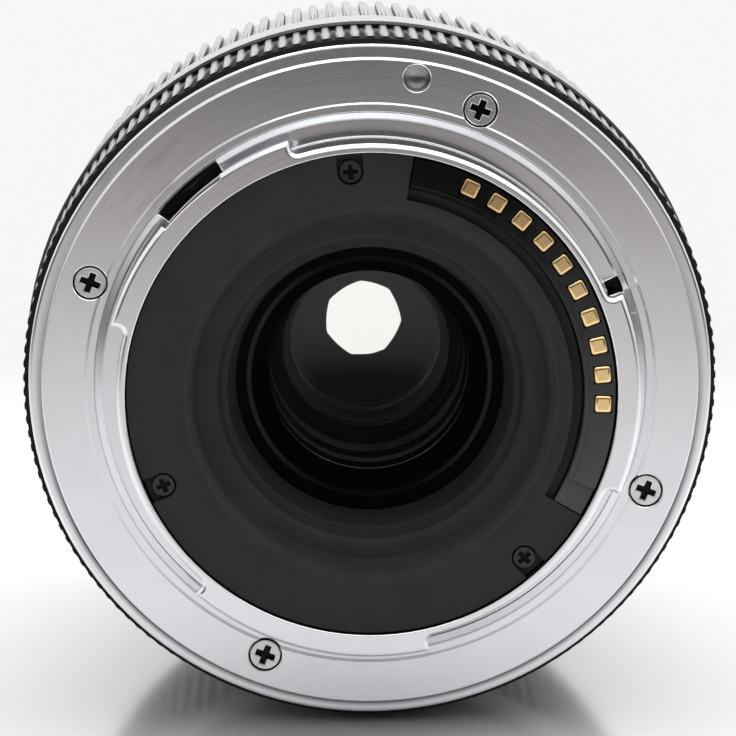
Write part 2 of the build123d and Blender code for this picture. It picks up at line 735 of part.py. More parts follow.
def focus_ring():
    """Ribbed grip of the focus control, open right through."""
    body = plate(rib_outline(), FOCUS_RING_START, FOCUS_RING_END)
    return body - disc(FOCUS_RING_BORE_R, FOCUS_RING_START - 1, FOCUS_RING_END + 1)


def encoder_strip():
    """Striped band bonded inside the focus ring, read by the sensor."""
    inner = FOCUS_RING_BORE_R - STRIP_THICK
    return tube(inner, FOCUS_RING_BORE_R, STRIP_START, STRIP_START + STRIP_LONG)


def sensor_block(gap=0.0):
    """Sensor body in its window in the sleeve; the gap widens it into the window."""
    inner = MIDDLE_BORE_R - FREE_GAP - gap
    outer = SLEEVE_R + gap
    middle = STRIP_START + STRIP_LONG / 2
    half_long = SENSOR_LONG / 2 + gap
    return brick(outer - inner, SENSOR_WIDE + 2 * gap, middle - half_long, middle + half_long,
                 (outer + inner) / 2, SENSOR_ANGLE)


def encoder_sensor():
    """Sensor facing the strip, on a foot that stands on the inner frame."""
    middle = STRIP_START + STRIP_LONG / 2
    half_foot = SENSOR_FOOT / 2
    top = MIDDLE_BORE_R
    foot = brick(top - FRAME_R, SENSOR_FOOT, middle - half_foot, middle + half_foot,
                 (top + FRAME_R) / 2, SENSOR_ANGLE)
    return sensor_block() + foot


# Inner frame

def inner_frame():
    """Fixed tube that carries the optical groups, the iris and the drives."""
    outer_seat = FRAME_BORE_R + SEAT_OVERLAP
    body = tube(FRAME_BORE_R, FRAME_R, FRAME_REAR_START, FRAME_END)
    body += tube(REAR_CELL_R + SEAT_FIT, outer_seat, FRAME_REAR_START, FRAME_REAR_END)
    body += tube(REAR_CELL_R + SEAT_FIT, outer_seat, WEB_START, WEB_END)
    body += tube(IRIS_LEDGE_R, outer_seat, IRIS_BASE_START - IRIS_LEDGE_THICK, IRIS_BASE_START)
    body += tube(FRONT_LEDGE_R, outer_seat, FRONT_LEDGE_START, FRONT_FLANGE_START)
    body += tube(FRAME_R - SEAT_OVERLAP, FRAME_FLANGE_R, SLEEVE_END, FRAME_FLANGE_END)
    for angle in BAFFLE_SCREW_ANGLES:
        post_end = FRAME_REAR_START + SEAT_OVERLAP
        body += rod(POST_R, BAFFLE_FRONT, post_end, BAFFLE_SCREW_REACH, angle)
    for angle in BAFFLE_SCREW_ANGLES:
        hole_end = BAFFLE_FRONT + BAFFLE_SCREW_LONG
        body -= rod(SMALL_SHANK_R + RUNNING, BAFFLE_FRONT, hole_end, BAFFLE_SCREW_REACH, angle)
    for angle in BOARD_SCREW_ANGLES:
        body += rod(BOARD_SUPPORT_R, BOARD_END, FRAME_REAR_START + SEAT_OVERLAP,
                    BOARD_SCREW_REACH, angle)
        body -= rod(SMALL_SHANK_R + RUNNING, BOARD_END, FRAME_REAR_END,
                    BOARD_SCREW_REACH, angle)
    body -= barrel_screw_holes(FRAME_FLANGE_END)
    for angle in spread(BARREL_SCREW_COUNT, FRONT_SCREW_START):
        body -= rod(SMALL_SHANK_R + SCREW_HOLE_GAP, SLEEVE_END, FRAME_FLANGE_END,
                    BARREL_SCREW_REACH, angle)
    for angle in ROD_ANGLES:
        body -= rod(ROD_R + ROD_FIT, WEB_START, WEB_END, ROD_REACH, angle)
    body -= rod(LEAD_JOURNAL_R + RUNNING, WEB_START, WEB_END, SCREW_REACH, SCREW_ANGLE)
    return body - flex_notches()


def barrel_screw_holes(face):
    """Holes with sunk seats through the frame flange."""
    holes = []
    seat = face - SMALL_HEAD_SINK - SMALL_HEAD_HIGH
    for angle in spread(BARREL_SCREW_COUNT, BARREL_SCREW_START):
        holes.append(rod(SMALL_HEAD_R + SCREW_HEAD_GAP, seat, face, BARREL_SCREW_REACH, angle))
        holes.append(rod(SMALL_SHANK_R + SCREW_HOLE_GAP, SLEEVE_END, face,
                         BARREL_SCREW_REACH, angle))
    return holes


def small_screw(length, top, reach, angle, towards):
    return screw(SMALL_HEAD_R, SMALL_HEAD_HIGH, SMALL_SHANK_R, length, top, reach, angle, towards)


def barrel_screws():
    """Screws that hold the inner frame to the rear barrel."""
    top = FRAME_FLANGE_END - SMALL_HEAD_SINK
    return [small_screw(BARREL_SCREW_LONG, top, BARREL_SCREW_REACH, angle, -1)
            for angle in spread(BARREL_SCREW_COUNT, BARREL_SCREW_START)]


def front_barrel_screws():
    """Longer screws that hold the front barrel through the frame flange."""
    top = FRONT_PLATE_END - SMALL_HEAD_SINK
    length = BARREL_SCREW_LONG + FRONT_PLATE_THICK
    return [small_screw(length, top, BARREL_SCREW_REACH, angle, -1)
            for angle in spread(BARREL_SCREW_COUNT, FRONT_SCREW_START)]


# Rear baffle and contacts

def rear_baffle():
    """Matte plate and stepped well around the rear glass."""
    body = turned(
        (BAFFLE_RIM_R, BAFFLE_FACE),
        (BAFFLE_R, BAFFLE_FACE),
        (BAFFLE_R, BAFFLE_FRONT),
        (BAFFLE_RIM_R + WELL_WALL, BAFFLE_FRONT),
        (WELL_STEP_R + WELL_WALL, WELL_STEP_Y + WELL_WALL),
        (WELL_LEDGE_R + WELL_WALL, WELL_STEP_Y + WELL_WALL),
        (WELL_SINK_R + WELL_WALL, WELL_SINK_Y + WELL_WALL),
        (WELL_END_R + WELL_WALL, WELL_END_Y),
        (WELL_END_R, WELL_END_Y),
        (WELL_CONE_R, WELL_SINK_Y),
        (WELL_SINK_R, WELL_SINK_Y),
        (WELL_LEDGE_R - WELL_EDGE, WELL_STEP_Y + WELL_EDGE),
        (WELL_LEDGE_R, WELL_STEP_Y),
        (WELL_STEP_R, WELL_STEP_Y),
        (BAFFLE_RIM_R - WELL_BEVEL, BAFFLE_FACE + WELL_BEVEL_DEEP),
    )
    for angle in BAFFLE_SCREW_ANGLES:
        body -= baffle_pocket(angle)
        body -= rod(SMALL_SHANK_R + SCREW_HOLE_GAP, BAFFLE_FACE, BAFFLE_FRONT + FREE_GAP,
                    BAFFLE_SCREW_REACH, angle)
    low, high = BLOCK_ARC
    slot_r = BLOCK_INNER_R - THIN_GAP
    body -= sector(slot_r, BAFFLE_R + FREE_GAP, BAFFLE_FACE - FREE_GAP,
                   BAFFLE_FRONT + FREE_GAP, low - BLOCK_TAB_LONG, high)
    body -= sector(BLOCK_GROOVE_R, slot_r, BAFFLE_FACE - FREE_GAP,
                   BAFFLE_FACE + BLOCK_GROOVE_DEEP, low - BLOCK_TAB_LONG, high)
    return body


def baffle_pocket(angle):
    """Recess for a screw head, open to the wall of the register tube."""
    wide = SMALL_HEAD_R + SCREW_HEAD_GAP
    seat = BAFFLE_FACE + BAFFLE_HEAD_SINK + SMALL_HEAD_HIGH
    run = BAFFLE_R - BAFFLE_SCREW_REACH + FREE_GAP
    way = brick(run, 2 * wide, BAFFLE_FACE - FREE_GAP, seat,
                BAFFLE_SCREW_REACH + run / 2, angle)
    return way + rod(wide, BAFFLE_FACE - FREE_GAP, seat, BAFFLE_SCREW_REACH, angle)


def baffle_screws():
    top = BAFFLE_FACE + BAFFLE_HEAD_SINK
    return [small_screw(BAFFLE_SCREW_LONG - THIN_GAP, top, BAFFLE_SCREW_REACH, angle, 1)
            for angle in BAFFLE_SCREW_ANGLES]


def contact_block():
    """Insulating arc that carries the contacts, with a fine ridge along its inner edge."""
    low, high = BLOCK_ARC
    edge = degrees(THIN_GAP / BLOCK_OUTER_R)
    body = sector(BLOCK_INNER_R, BLOCK_OUTER_R, BLOCK_FACE, BLOCK_FRONT, low, high - edge)
    body += sector(BLOCK_INNER_R, BLOCK_INNER_R + BLOCK_RIDGE_WIDE,
                   BLOCK_FACE - BLOCK_RIDGE_HIGH, BLOCK_FACE, low, high - edge)
    body += sector(BLOCK_INNER_R, BLOCK_OUTER_R, BLOCK_FACE + BLOCK_TAB_DROP, BLOCK_FRONT,
                   low - BLOCK_TAB_LONG + edge, low)
    for angle in pin_angles():
        body -= pin_bar(angle, PIN_FIT)
    return body


def pin_angles():
    return [PIN_START - PIN_PITCH * number for number in range(PIN_COUNT)]


def pin_bar(angle, gap=0.0):
    side = PIN_WIDE + 2 * gap
    return brick(side, side, BLOCK_FACE - PIN_PROUD, BLOCK_FRONT, PIN_REACH, angle)


def contact_pins():
    return [pin_bar(angle) for angle in pin_angles()]


def contact_flex():
    """Thin circuit from the back of the contacts to the main board."""
    outer = PIN_REACH + CONTACT_FLEX_THICK / 2
    return sector(outer - CONTACT_FLEX_THICK, outer, BLOCK_FRONT, BOARD_START, *CONTACT_FLEX_ARC)


# Electronics

def main_board():
    """Ring-shaped board behind the mount, with holes for the baffle posts."""
    body = tube(BOARD_INNER_R, BOARD_R, BOARD_START, BOARD_END)
    for angle in BAFFLE_SCREW_ANGLES:
        body -= rod(POST_R + SCREW_HOLE_GAP, BOARD_START, BOARD_END, BAFFLE_SCREW_REACH, angle)
    for angle in BOARD_SCREW_ANGLES:
        body -= rod(SMALL_SHANK_R + SCREW_HOLE_GAP, BOARD_START, BOARD_END,
                    BOARD_SCREW_REACH, angle)
    return body


def board_screws():
    length = FRAME_REAR_START - BOARD_START + BOARD_THICK / 2
    return [small_screw(length, BOARD_START - SMALL_HEAD_HIGH, BOARD_SCREW_REACH, angle, 1)
            for angle in BOARD_SCREW_ANGLES]


def board_chips():
    return [brick(CHIP_SIDE, CHIP_SIDE, BOARD_START - CHIP_HIGH, BOARD_START, CHIP_REACH, angle)
            for angle in CHIP_ANGLES]


def flex_notches():
    """Way for the motor flex past the rear wall, the web and the iris ledge."""
    low, high = MOTOR_FLEX_ARC
    inner = FRAME_BORE_R - MOTOR_FLEX_NOTCH
    return sector(inner, FRAME_BORE_R, FRAME_REAR_START - SEAT_OVERLAP, FLEX_NOTCH_END,
                  low - MOTOR_FLEX_NOTCH, high + MOTOR_FLEX_NOTCH)


def motor_flex():
    """Thin circuit along the frame from the main board to both motors."""
    outer = FRAME_BORE_R - THIN_GAP
    inner = outer - MOTOR_FLEX_THICK
    low, high = MOTOR_FLEX_ARC
    body = sector(inner, outer, BOARD_END, IRIS_COVER_END + IRIS_MOTOR_LONG, low, high)
    branch_start = FRAME_REAR_END + FREE_GAP
    branch_end = branch_start + MOTOR_FLEX_BRANCH
    body += sector(inner, outer, branch_start, branch_end, SCREW_ANGLE, low)
    iris_end = IRIS_COVER_END + IRIS_MOTOR_LONG
    body += sector(inner, outer, iris_end - MOTOR_FLEX_BRANCH, iris_end, PINION_ANGLE, low)
    return body


# Rear optical group

def rear_glass_end():
    return REAR_GLASS_START + REAR_GLASS_THICK


def rear_inner_start():
    return rear_glass_end() + REAR_SPACER_LONG


def rear_cell():
    """Holder of the two rear elements, seated on the web of the frame."""
    stop_start = rear_inner_start() + REAR_INNER_THICK
    return turned(
        (REAR_BORE_R, REAR_CELL_START),
        (REAR_CELL_R, REAR_CELL_START),
        (REAR_CELL_R, WEB_END),
        (REAR_CELL_FLANGE_R, WEB_END),
        (REAR_CELL_FLANGE_R, REAR_CELL_END),
        (REAR_STOP_R, REAR_CELL_END),
        (REAR_STOP_R, stop_start),
        (REAR_BORE_R, stop_start),
    )


def rear_retaining_ring():
    """Threaded ring with a conical mouth in front of the rear glass."""
    outer = REAR_BORE_R - SEAT_FIT
    return turned(
        (REAR_RING_MOUTH_R, REAR_CELL_START + REAR_RING_INSET),
        (outer, REAR_CELL_START + REAR_RING_INSET),
        (outer, REAR_GLASS_START),
        (REAR_CLEAR_R, REAR_GLASS_START),
        (REAR_CLEAR_R, REAR_GLASS_START - REAR_RING_LIP),
    )


def rear_element():
    return lens_element(REAR_BORE_R - SEAT_FIT, REAR_CLEAR_R, REAR_GLASS_START,
                        rear_glass_end(), REAR_GLASS_SAG, REAR_GLASS_FRONT_SAG)


def rear_spacer():
    return tube(REAR_CLEAR_R, REAR_BORE_R - SEAT_FIT, rear_glass_end(), rear_inner_start())


def rear_inner_element():
    return lens_element(REAR_BORE_R - SEAT_FIT, REAR_STOP_R, rear_inner_start(),
                        rear_inner_start() + REAR_INNER_THICK, REAR_INNER_SAG, REAR_INNER_SAG)


# Focus group

def focus_glass_start():
    return FOCUS_CELL_START + FOCUS_RING_THICK


def focus_cell():
    """Moving holder of the focus element, with bushes on both guide rods."""
    glass_end = focus_glass_start() + FOCUS_GLASS_THICK
    cell_end = FOCUS_CELL_START + FOCUS_CELL_LONG
    arm_end = FOCUS_CELL_START + ARM_THICK
    body = tube(FOCUS_CELL_BORE_R, FOCUS_CELL_R, FOCUS_CELL_START, cell_end)
    for angle in ROD_ANGLES:
        body += arm(ROD_REACH, angle, arm_end)
        body += rod(BUSH_R, FOCUS_CELL_START, cell_end, ROD_REACH, angle)
        body -= rod(ROD_R + RUNNING, FOCUS_CELL_START, cell_end, ROD_REACH, angle)
    body += arm(SCREW_REACH, SCREW_ANGLE, arm_end)
    body += rod(NUT_SIDE / 2, FOCUS_CELL_START, arm_end, SCREW_REACH, SCREW_ANGLE)
    body -= rod(LEAD_R + FREE_GAP, FOCUS_CELL_START, arm_end, SCREW_REACH, SCREW_ANGLE)
    body -= disc(FOCUS_CELL_BORE_R, FOCUS_CELL_START, glass_end)
    return body + tube(FOCUS_CLEAR_R, FOCUS_CELL_R, glass_end, cell_end)


def arm(reach, angle, arm_end):
    inner = (FOCUS_CELL_BORE_R + FOCUS_CELL_R) / 2
    return brick(reach - inner, ARM_WIDE, FOCUS_CELL_START, arm_end, (reach + inner) / 2, angle)


def focus_element():
    end = focus_glass_start() + FOCUS_GLASS_THICK
    return lens_element(FOCUS_CELL_BORE_R - SEAT_FIT, FOCUS_CLEAR_R, focus_glass_start(), end,
                        -FOCUS_GLASS_SAG, FOCUS_GLASS_SAG)


def focus_retaining_ring():
    return tube(FOCUS_RING_CLEAR_R, FOCUS_CELL_BORE_R - SEAT_FIT, FOCUS_CELL_START,
                focus_glass_start())


def focus_nut():
    """Threaded block on the front of the drive arm."""
    start = FOCUS_CELL_START + ARM_THICK
    body = brick(NUT_SIDE, NUT_SIDE, start, start + NUT_LONG, SCREW_REACH, SCREW_ANGLE)
    return body - rod(LEAD_R + RUNNING, start, start + NUT_LONG, SCREW_REACH, SCREW_ANGLE)


def guide_rods():
    end = IRIS_BASE_START + ROD_SEAT_DEEP
    return [rod(ROD_R, WEB_START, end, ROD_REACH, angle) for angle in ROD_ANGLES]


def lead_screw():
    """Motor shaft with a fine thread between two plain journals."""
    thread_start = WEB_END + THIN_GAP
    thread_end = IRIS_BASE_START - THIN_GAP
    turns = int((thread_end - thread_start) / LEAD_PITCH) - 1
    plain = (thread_end - thread_start - turns * LEAD_PITCH) / 2
    root = LEAD_R - LEAD_THREAD_DEEP
    profile = [(0, MOTOR_END - MOTOR_SHAFT_DEEP), (LEAD_JOURNAL_R, MOTOR_END - MOTOR_SHAFT_DEEP)]
    profile += [(LEAD_JOURNAL_R, thread_start), (LEAD_R, thread_start)]
    for number in range(turns):
        start = thread_start + plain + number * LEAD_PITCH
        profile.append((LEAD_R, start))
        profile.append((root, start + LEAD_PITCH / 2))
    profile += [(LEAD_R, thread_end - plain), (LEAD_R, thread_end)]
    profile += [(LEAD_JOURNAL_R, thread_end), (LEAD_JOURNAL_R, IRIS_BASE_START + ROD_SEAT_DEEP)]
    profile += [(0, IRIS_BASE_START + ROD_SEAT_DEEP)]
    return spot(SCREW_REACH, SCREW_ANGLE) * turned(*profile)


def focus_motor():
    """Stepper motor behind the web, with a stepped rear cap."""
    start = MOTOR_END - MOTOR_LONG
    body = rod(MOTOR_R, start + MOTOR_CAP_LONG, MOTOR_END, SCREW_REACH, SCREW_ANGLE)
    body += rod(MOTOR_CAP_R, start, start + MOTOR_CAP_LONG, SCREW_REACH, SCREW_ANGLE)
    return body - rod(LEAD_JOURNAL_R + RUNNING, MOTOR_END - MOTOR_SHAFT_DEEP, MOTOR_END,
                      SCREW_REACH, SCREW_ANGLE)


# Iris

def closing_angle(aperture_r):
    """Turn of a blade about its pivot, from fully open to an opening of this radius."""
    return degrees(2 * asin((BLADE_INNER_R - aperture_r) / (2 * PIVOT_REACH)))


def swing(shape, angle):
    """Turn about the pivot of a blade that stands at angle zero."""
    return Pos(PIVOT_REACH, 0, 0) * Rot(Y=-angle) * Pos(-PIVOT_REACH, 0, 0) * shape


def iris_blade(number):
    """Crescent blade at its own level, with a pivot pin in front of it and a drive pin."""
    start = BLADES_START + number * LEVEL_PITCH
    end = start + BLADE_THICK
    margin = degrees(EAR_WIDE / 2 / PIVOT_REACH)
    body = sector(BLADE_INNER_R, BLADE_OUTER_R, start, end, *BLADE_SPAN)
    body += sector(BLADE_OUTER_R - EAR_WIDE / 2, PIVOT_REACH + EAR_WIDE / 2, start, end,
                   -margin, DRIVE_LEAD + margin)
    body += rod(BLADE_PIN_R, IRIS_BASE_START + BLADE_GAP, end, PIVOT_REACH, 0)
    body += rod(BLADE_PIN_R, start, IRIS_RING_END - BLADE_GAP, DRIVE_REACH, DRIVE_LEAD)
    body = swing(body, closing_angle(REST_APERTURE_R))
    return Rot(Y=-blade_angles()[number]) * body


def blade_angles():
    return spread(BLADE_COUNT, BLADE_START_ANGLE)


def drive_pin_place(aperture_r):
    """Drive pin of the first blade as the iris ring sees it, as (x, z)."""
    turn = closing_angle(aperture_r)
    ring_turn = (turn - closing_angle(REST_APERTURE_R)) / BLADE_PER_RING
    x, z = polar(DRIVE_REACH, DRIVE_LEAD)
    swung_x = PIVOT_REACH + (x - PIVOT_REACH) * cos(radians(turn)) - z * sin(radians(turn))
    swung_z = (x - PIVOT_REACH) * sin(radians(turn)) + z * cos(radians(turn))
    return polar(hypot(swung_x, swung_z), degrees(atan2(swung_z, swung_x)) - ring_turn)


def iris_slot():
    """Cam slot of the first blade, along the way of its drive pin."""
    middle_turn = (closing_angle(SMALL_APERTURE_R)) / 2
    middle_r = BLADE_INNER_R - 2 * PIVOT_REACH * sin(radians(middle_turn / 2))
    way = ThreePointArc(*[drive_pin_place(r) for r in (BLADE_INNER_R, middle_r, SMALL_APERTURE_R)])
    slot = SlotArc(way, 2 * (BLADE_PIN_R + SLOT_GAP))
    solid = extrude(slot, IRIS_RING_THICK + 2 * CUT_PAST, dir=(0, 0, 1))
    return Pos(0, IRIS_RING_END + CUT_PAST, 0) * Rot(X=90) * solid


def gear_outline(teeth, first):
    """Involute outline with one tooth centred on the first angle, as (x, z) points."""
    pitch_r = GEAR_MODULE * teeth / 2
    base_r = pitch_r * cos(radians(GEAR_PRESSURE))
    tip_r = pitch_r + GEAR_MODULE * GEAR_ADDENDUM_SHARE
    root_r = pitch_r - GEAR_MODULE * GEAR_ROOT_SHARE
    flank_start = max(base_r, root_r)
    steps = [flank_start + (tip_r - flank_start) * step / GEAR_STEPS for step in range(GEAR_STEPS + 1)]
    flank = [(root_r, tooth_half_angle(flank_start, pitch_r, base_r, teeth))]
    flank += [(r, tooth_half_angle(r, pitch_r, base_r, teeth)) for r in steps if r > root_r]
    points = []
    for middle in spread(teeth, first):
        points += [polar(r, middle - half) for r, half in flank]
        points += [polar(r, middle + half) for r, half in reversed(flank)]
    return points


def tooth_half_angle(radius, pitch_r, base_r, teeth):
    pressure = radians(GEAR_PRESSURE)
    turn = acos(min(1, base_r / radius))
    half = pi / 2 / teeth - GEAR_BACKLASH / 2 / pitch_r
    return degrees(half + tan(pressure) - pressure - tan(turn) + turn)


def iris_ring():
    """Cam ring with seven slots and a toothed sector."""
    body = tube(IRIS_RING_BORE_R, IRIS_RING_BODY_R, IRIS_RING_START, IRIS_RING_END)
    half = 180 / RING_TEETH * RING_TEETH_CUT
    teeth = plate(gear_outline(RING_TEETH, PINION_ANGLE), IRIS_RING_START, IRIS_RING_END)
    teeth &= sector(IRIS_RING_BODY_R - FREE_GAP, PINION_REACH, IRIS_RING_START, IRIS_RING_END,
                    PINION_ANGLE - half, PINION_ANGLE + half)
    body += teeth
    for angle in blade_angles():
        body -= Rot(Y=-angle) * iris_slot()
    return body


def iris_pinion():
    """Small gear on the shaft of the iris motor."""
    x, z = polar(PINION_REACH, PINION_ANGLE)
    first = PINION_ANGLE + 180 + 180 / PINION_TEETH
    gear = plate(gear_outline(PINION_TEETH, first), IRIS_RING_START, IRIS_RING_END)
    shaft_start = IRIS_BASE_START + ROD_SEAT_DEEP / 2
    shaft = rod(PINION_SHAFT_R, shaft_start, IRIS_COVER_END + PINION_SHAFT_DEEP,
                PINION_REACH, PINION_ANGLE)
    return Pos(x, 0, z) * gear + shaft


def iris_base():
    """Rear plate of the iris, which also holds the front ends of rods and lead screw."""
    body = tube(IRIS_HOLE_R, FRAME_BORE_R - SEAT_FIT, IRIS_BASE_START, IRIS_BASE_END)
    for angle in IRIS_POST_ANGLES:
        body += rod(IRIS_POST_R, IRIS_BASE_END, IRIS_COVER_START, IRIS_POST_REACH, angle)
        body -= rod(SMALL_SHANK_R + RUNNING, IRIS_BASE_END, IRIS_COVER_START,
                    IRIS_POST_REACH, angle)
    for angle in blade_angles():
        body -= rod(BLADE_PIN_R + RUNNING, IRIS_BASE_START, IRIS_BASE_END, PIVOT_REACH, angle)
    socket_end = IRIS_BASE_START + ROD_SEAT_DEEP
    for angle in ROD_ANGLES:
        body -= rod(ROD_R + ROD_FIT, IRIS_BASE_START, socket_end, ROD_REACH, angle)
    body -= rod(LEAD_JOURNAL_R + RUNNING, IRIS_BASE_START, socket_end, SCREW_REACH, SCREW_ANGLE)
    body -= rod(PINION_SHAFT_R + RUNNING, IRIS_BASE_START + ROD_SEAT_DEEP / 2, IRIS_BASE_END,
                PINION_REACH, PINION_ANGLE)
    return body - flex_notches()


def iris_cover():
    """Front plate of the iris, with the lip that the iris ring turns on."""
    lip_r = IRIS_RING_BORE_R - RUNNING
    body = tube(IRIS_HOLE_R, IRIS_COVER_R, IRIS_COVER_START, IRIS_COVER_END)
    body += tube(lip_r - IRIS_LIP_WALL, lip_r, IRIS_RING_START, IRIS_COVER_START)
    for angle in IRIS_POST_ANGLES:
        body -= rod(SMALL_SHANK_R + SCREW_HOLE_GAP, IRIS_COVER_START, IRIS_COVER_END,
                    IRIS_POST_REACH, angle)
    return body - rod(PINION_SHAFT_R + RUNNING, IRIS_COVER_START, IRIS_COVER_END,
                      PINION_REACH, PINION_ANGLE)


def iris_screws():
    length = IRIS_COVER_THICK + IRIS_RING_THICK
    return [small_screw(length, IRIS_COVER_END + SMALL_HEAD_HIGH, IRIS_POST_REACH, angle, -1)
            for angle in IRIS_POST_ANGLES]


def iris_motor():
    body = rod(IRIS_MOTOR_R, IRIS_COVER_END, IRIS_COVER_END + IRIS_MOTOR_LONG,
               PINION_REACH, PINION_ANGLE)
    return body - rod(PINION_SHAFT_R + RUNNING, IRIS_COVER_END,
                      IRIS_COVER_END + PINION_SHAFT_DEEP, PINION_REACH, PINION_ANGLE)


# Front optical group

def front_inner_end():
    return FRONT_INNER_START + FRONT_INNER_THICK


def front_mid_start():
    return front_inner_end() + FRONT_SPACER_LONG


def front_mid_end():
    return front_mid_start() + FRONT_MID_THICK


def front_glass_start():
    return front_mid_end() + FRONT_SEAT_LONG


def front_glass_end():
    return front_glass_start() + FRONT_GLASS_THICK


def front_cell():
    """Holder of the three front elements, seated on the front ledge of the frame."""
    flange_end = FRONT_FLANGE_START + FRONT_FLANGE_THICK
    return turned(
        (FRONT_STOP_R, FRONT_CELL_START),
        (FRONT_CELL_R, FRONT_CELL_START),
        (FRONT_CELL_R, FRONT_FLANGE_START),
        (FRAME_BORE_R - SEAT_FIT, FRONT_FLANGE_START),
        (FRAME_BORE_R - SEAT_FIT, flange_end),
        (FRONT_CELL_HEAD_R, flange_end),
        (FRONT_CELL_HEAD_R, front_glass_end()),
        (FRONT_GLASS_R + SEAT_FIT, front_glass_end()),
        (FRONT_GLASS_R + SEAT_FIT, front_glass_start()),
        (FRONT_BORE_R, front_glass_start()),
        (FRONT_BORE_R, FRONT_INNER_START),
        (FRONT_STOP_R, FRONT_INNER_START),
    )


def front_inner_element():
    return lens_element(FRONT_BORE_R - SEAT_FIT, FRONT_STOP_R, FRONT_INNER_START,
                        front_inner_end(), FRONT_INNER_SAG, FRONT_INNER_SAG)


def front_spacer():
    return tube(FRONT_STOP_R, FRONT_BORE_R - SEAT_FIT, front_inner_end(), front_mid_start())


def front_mid_element():
    return lens_element(FRONT_BORE_R - SEAT_FIT, FRONT_STOP_R, front_mid_start(),
                        front_mid_end(), FRONT_INNER_SAG, FRONT_MID_SAG)


def front_seat_ring():
    return tube(FRONT_STOP_R, FRONT_BORE_R - SEAT_FIT, front_mid_end(), front_glass_start())


def front_element():
    """Curved front glass, hollow behind and domed in front."""
    return lens_element(FRONT_GLASS_R, FRONT_CLEAR_R, front_glass_start(), front_glass_end(),
                        -FRONT_GLASS_REAR_SAG, FRONT_GLASS_SAG, FRONT_STOP_R)


def trim_ring():
    """Blank front ring that keeps the front glass down and covers its holder."""
    start = front_glass_end()
    return turned(
        (FRONT_CLEAR_R, start),
        (TRIM_R, start),
        (TRIM_R, start + TRIM_RIM_LONG),
        (TRIM_R - TRIM_RIM_WALL, start + TRIM_RIM_LONG),
        (TRIM_R - 2 * TRIM_RIM_WALL, start + TRIM_THICK),
        (FRONT_CLEAR_R + TRIM_THICK, start + TRIM_THICK),
        (FRONT_CLEAR_R, start + TRIM_THICK / 2),
    )


# Front barrel

def front_barrel():
    """Shell with the filter thread, the hood bayonet and the plate that holds it."""
    filter_bore_r = FILTER_R - FILTER_THREAD_DEEP
    seat_y = front_glass_end()
    slope_end = FRONT_SHOULDER_END + HOOD_SLOPE_LONG
    outer = [
        (FRAME_FLANGE_R + THIN_GAP, SLEEVE_END),
        (FRONT_BARREL_R - FRONT_EDGE, SLEEVE_END),
        (FRONT_BARREL_R, SLEEVE_END + FRONT_EDGE),
        (FRONT_BARREL_R, FRONT_SHOULDER_END),
        (HOOD_R, slope_end),
        (HOOD_R, LENGTH - FRONT_EDGE),
        (HOOD_R - FRONT_EDGE, LENGTH),
        (FILTER_R + FILTER_LEAD_IN, LENGTH),
    ]
    half_crest = FILTER_PITCH * FILTER_CREST_SHARE / 2
    half_root = FILTER_PITCH * FILTER_ROOT_SHARE / 2
    thread = [(FILTER_R, LENGTH - FILTER_LEAD_IN)]
    for number in range(FILTER_TURNS):
        root = LENGTH - FILTER_LEAD_IN - number * FILTER_PITCH
        crest = root - FILTER_PITCH / 2
        thread.append((FILTER_R, root - half_root))
        thread.append((filter_bore_r, crest + half_crest))
        thread.append((filter_bore_r, crest - half_crest))
        thread.append((FILTER_R, root - FILTER_PITCH + half_root))
    inner = [
        (FILTER_R, thread[-1][1] - 2 * half_root),
        (filter_bore_r, thread[-1][1] - FILTER_PITCH / 2),
        (filter_bore_r, seat_y - TRIM_THICK),
        (HOOD_R - FRONT_WALL, slope_end - FRONT_WALL),
        (FRONT_BARREL_R - FRONT_WALL, FRONT_SHOULDER_END - FRONT_WALL),
        (FRONT_BARREL_R - FRONT_WALL, FRONT_PLATE_END),
        (FRAME_R + FREE_GAP, FRONT_PLATE_END),
        (FRAME_R + FREE_GAP, FRAME_FLANGE_END),
        (FRAME_FLANGE_R + THIN_GAP, FRAME_FLANGE_END),
    ]
    body = turned(*outer, *thread, *inner)
    for low, high in HOOD_LUG_ARCS:
        body += sector(HOOD_R - FRONT_WALL / 2, HOOD_LUG_R, HOOD_LUG_END - HOOD_LUG_LONG,
                       HOOD_LUG_END, low, high)
    seat = FRONT_PLATE_END - SMALL_HEAD_SINK - SMALL_HEAD_HIGH
    for angle in spread(BARREL_SCREW_COUNT, FRONT_SCREW_START):
        body -= rod(SMALL_HEAD_R + SCREW_HEAD_GAP, seat, FRONT_PLATE_END,
                    BARREL_SCREW_REACH, angle)
        body -= rod(SMALL_SHANK_R + SCREW_HOLE_GAP, FRAME_FLANGE_END, seat,
                    BARREL_SCREW_REACH, angle)
    return body


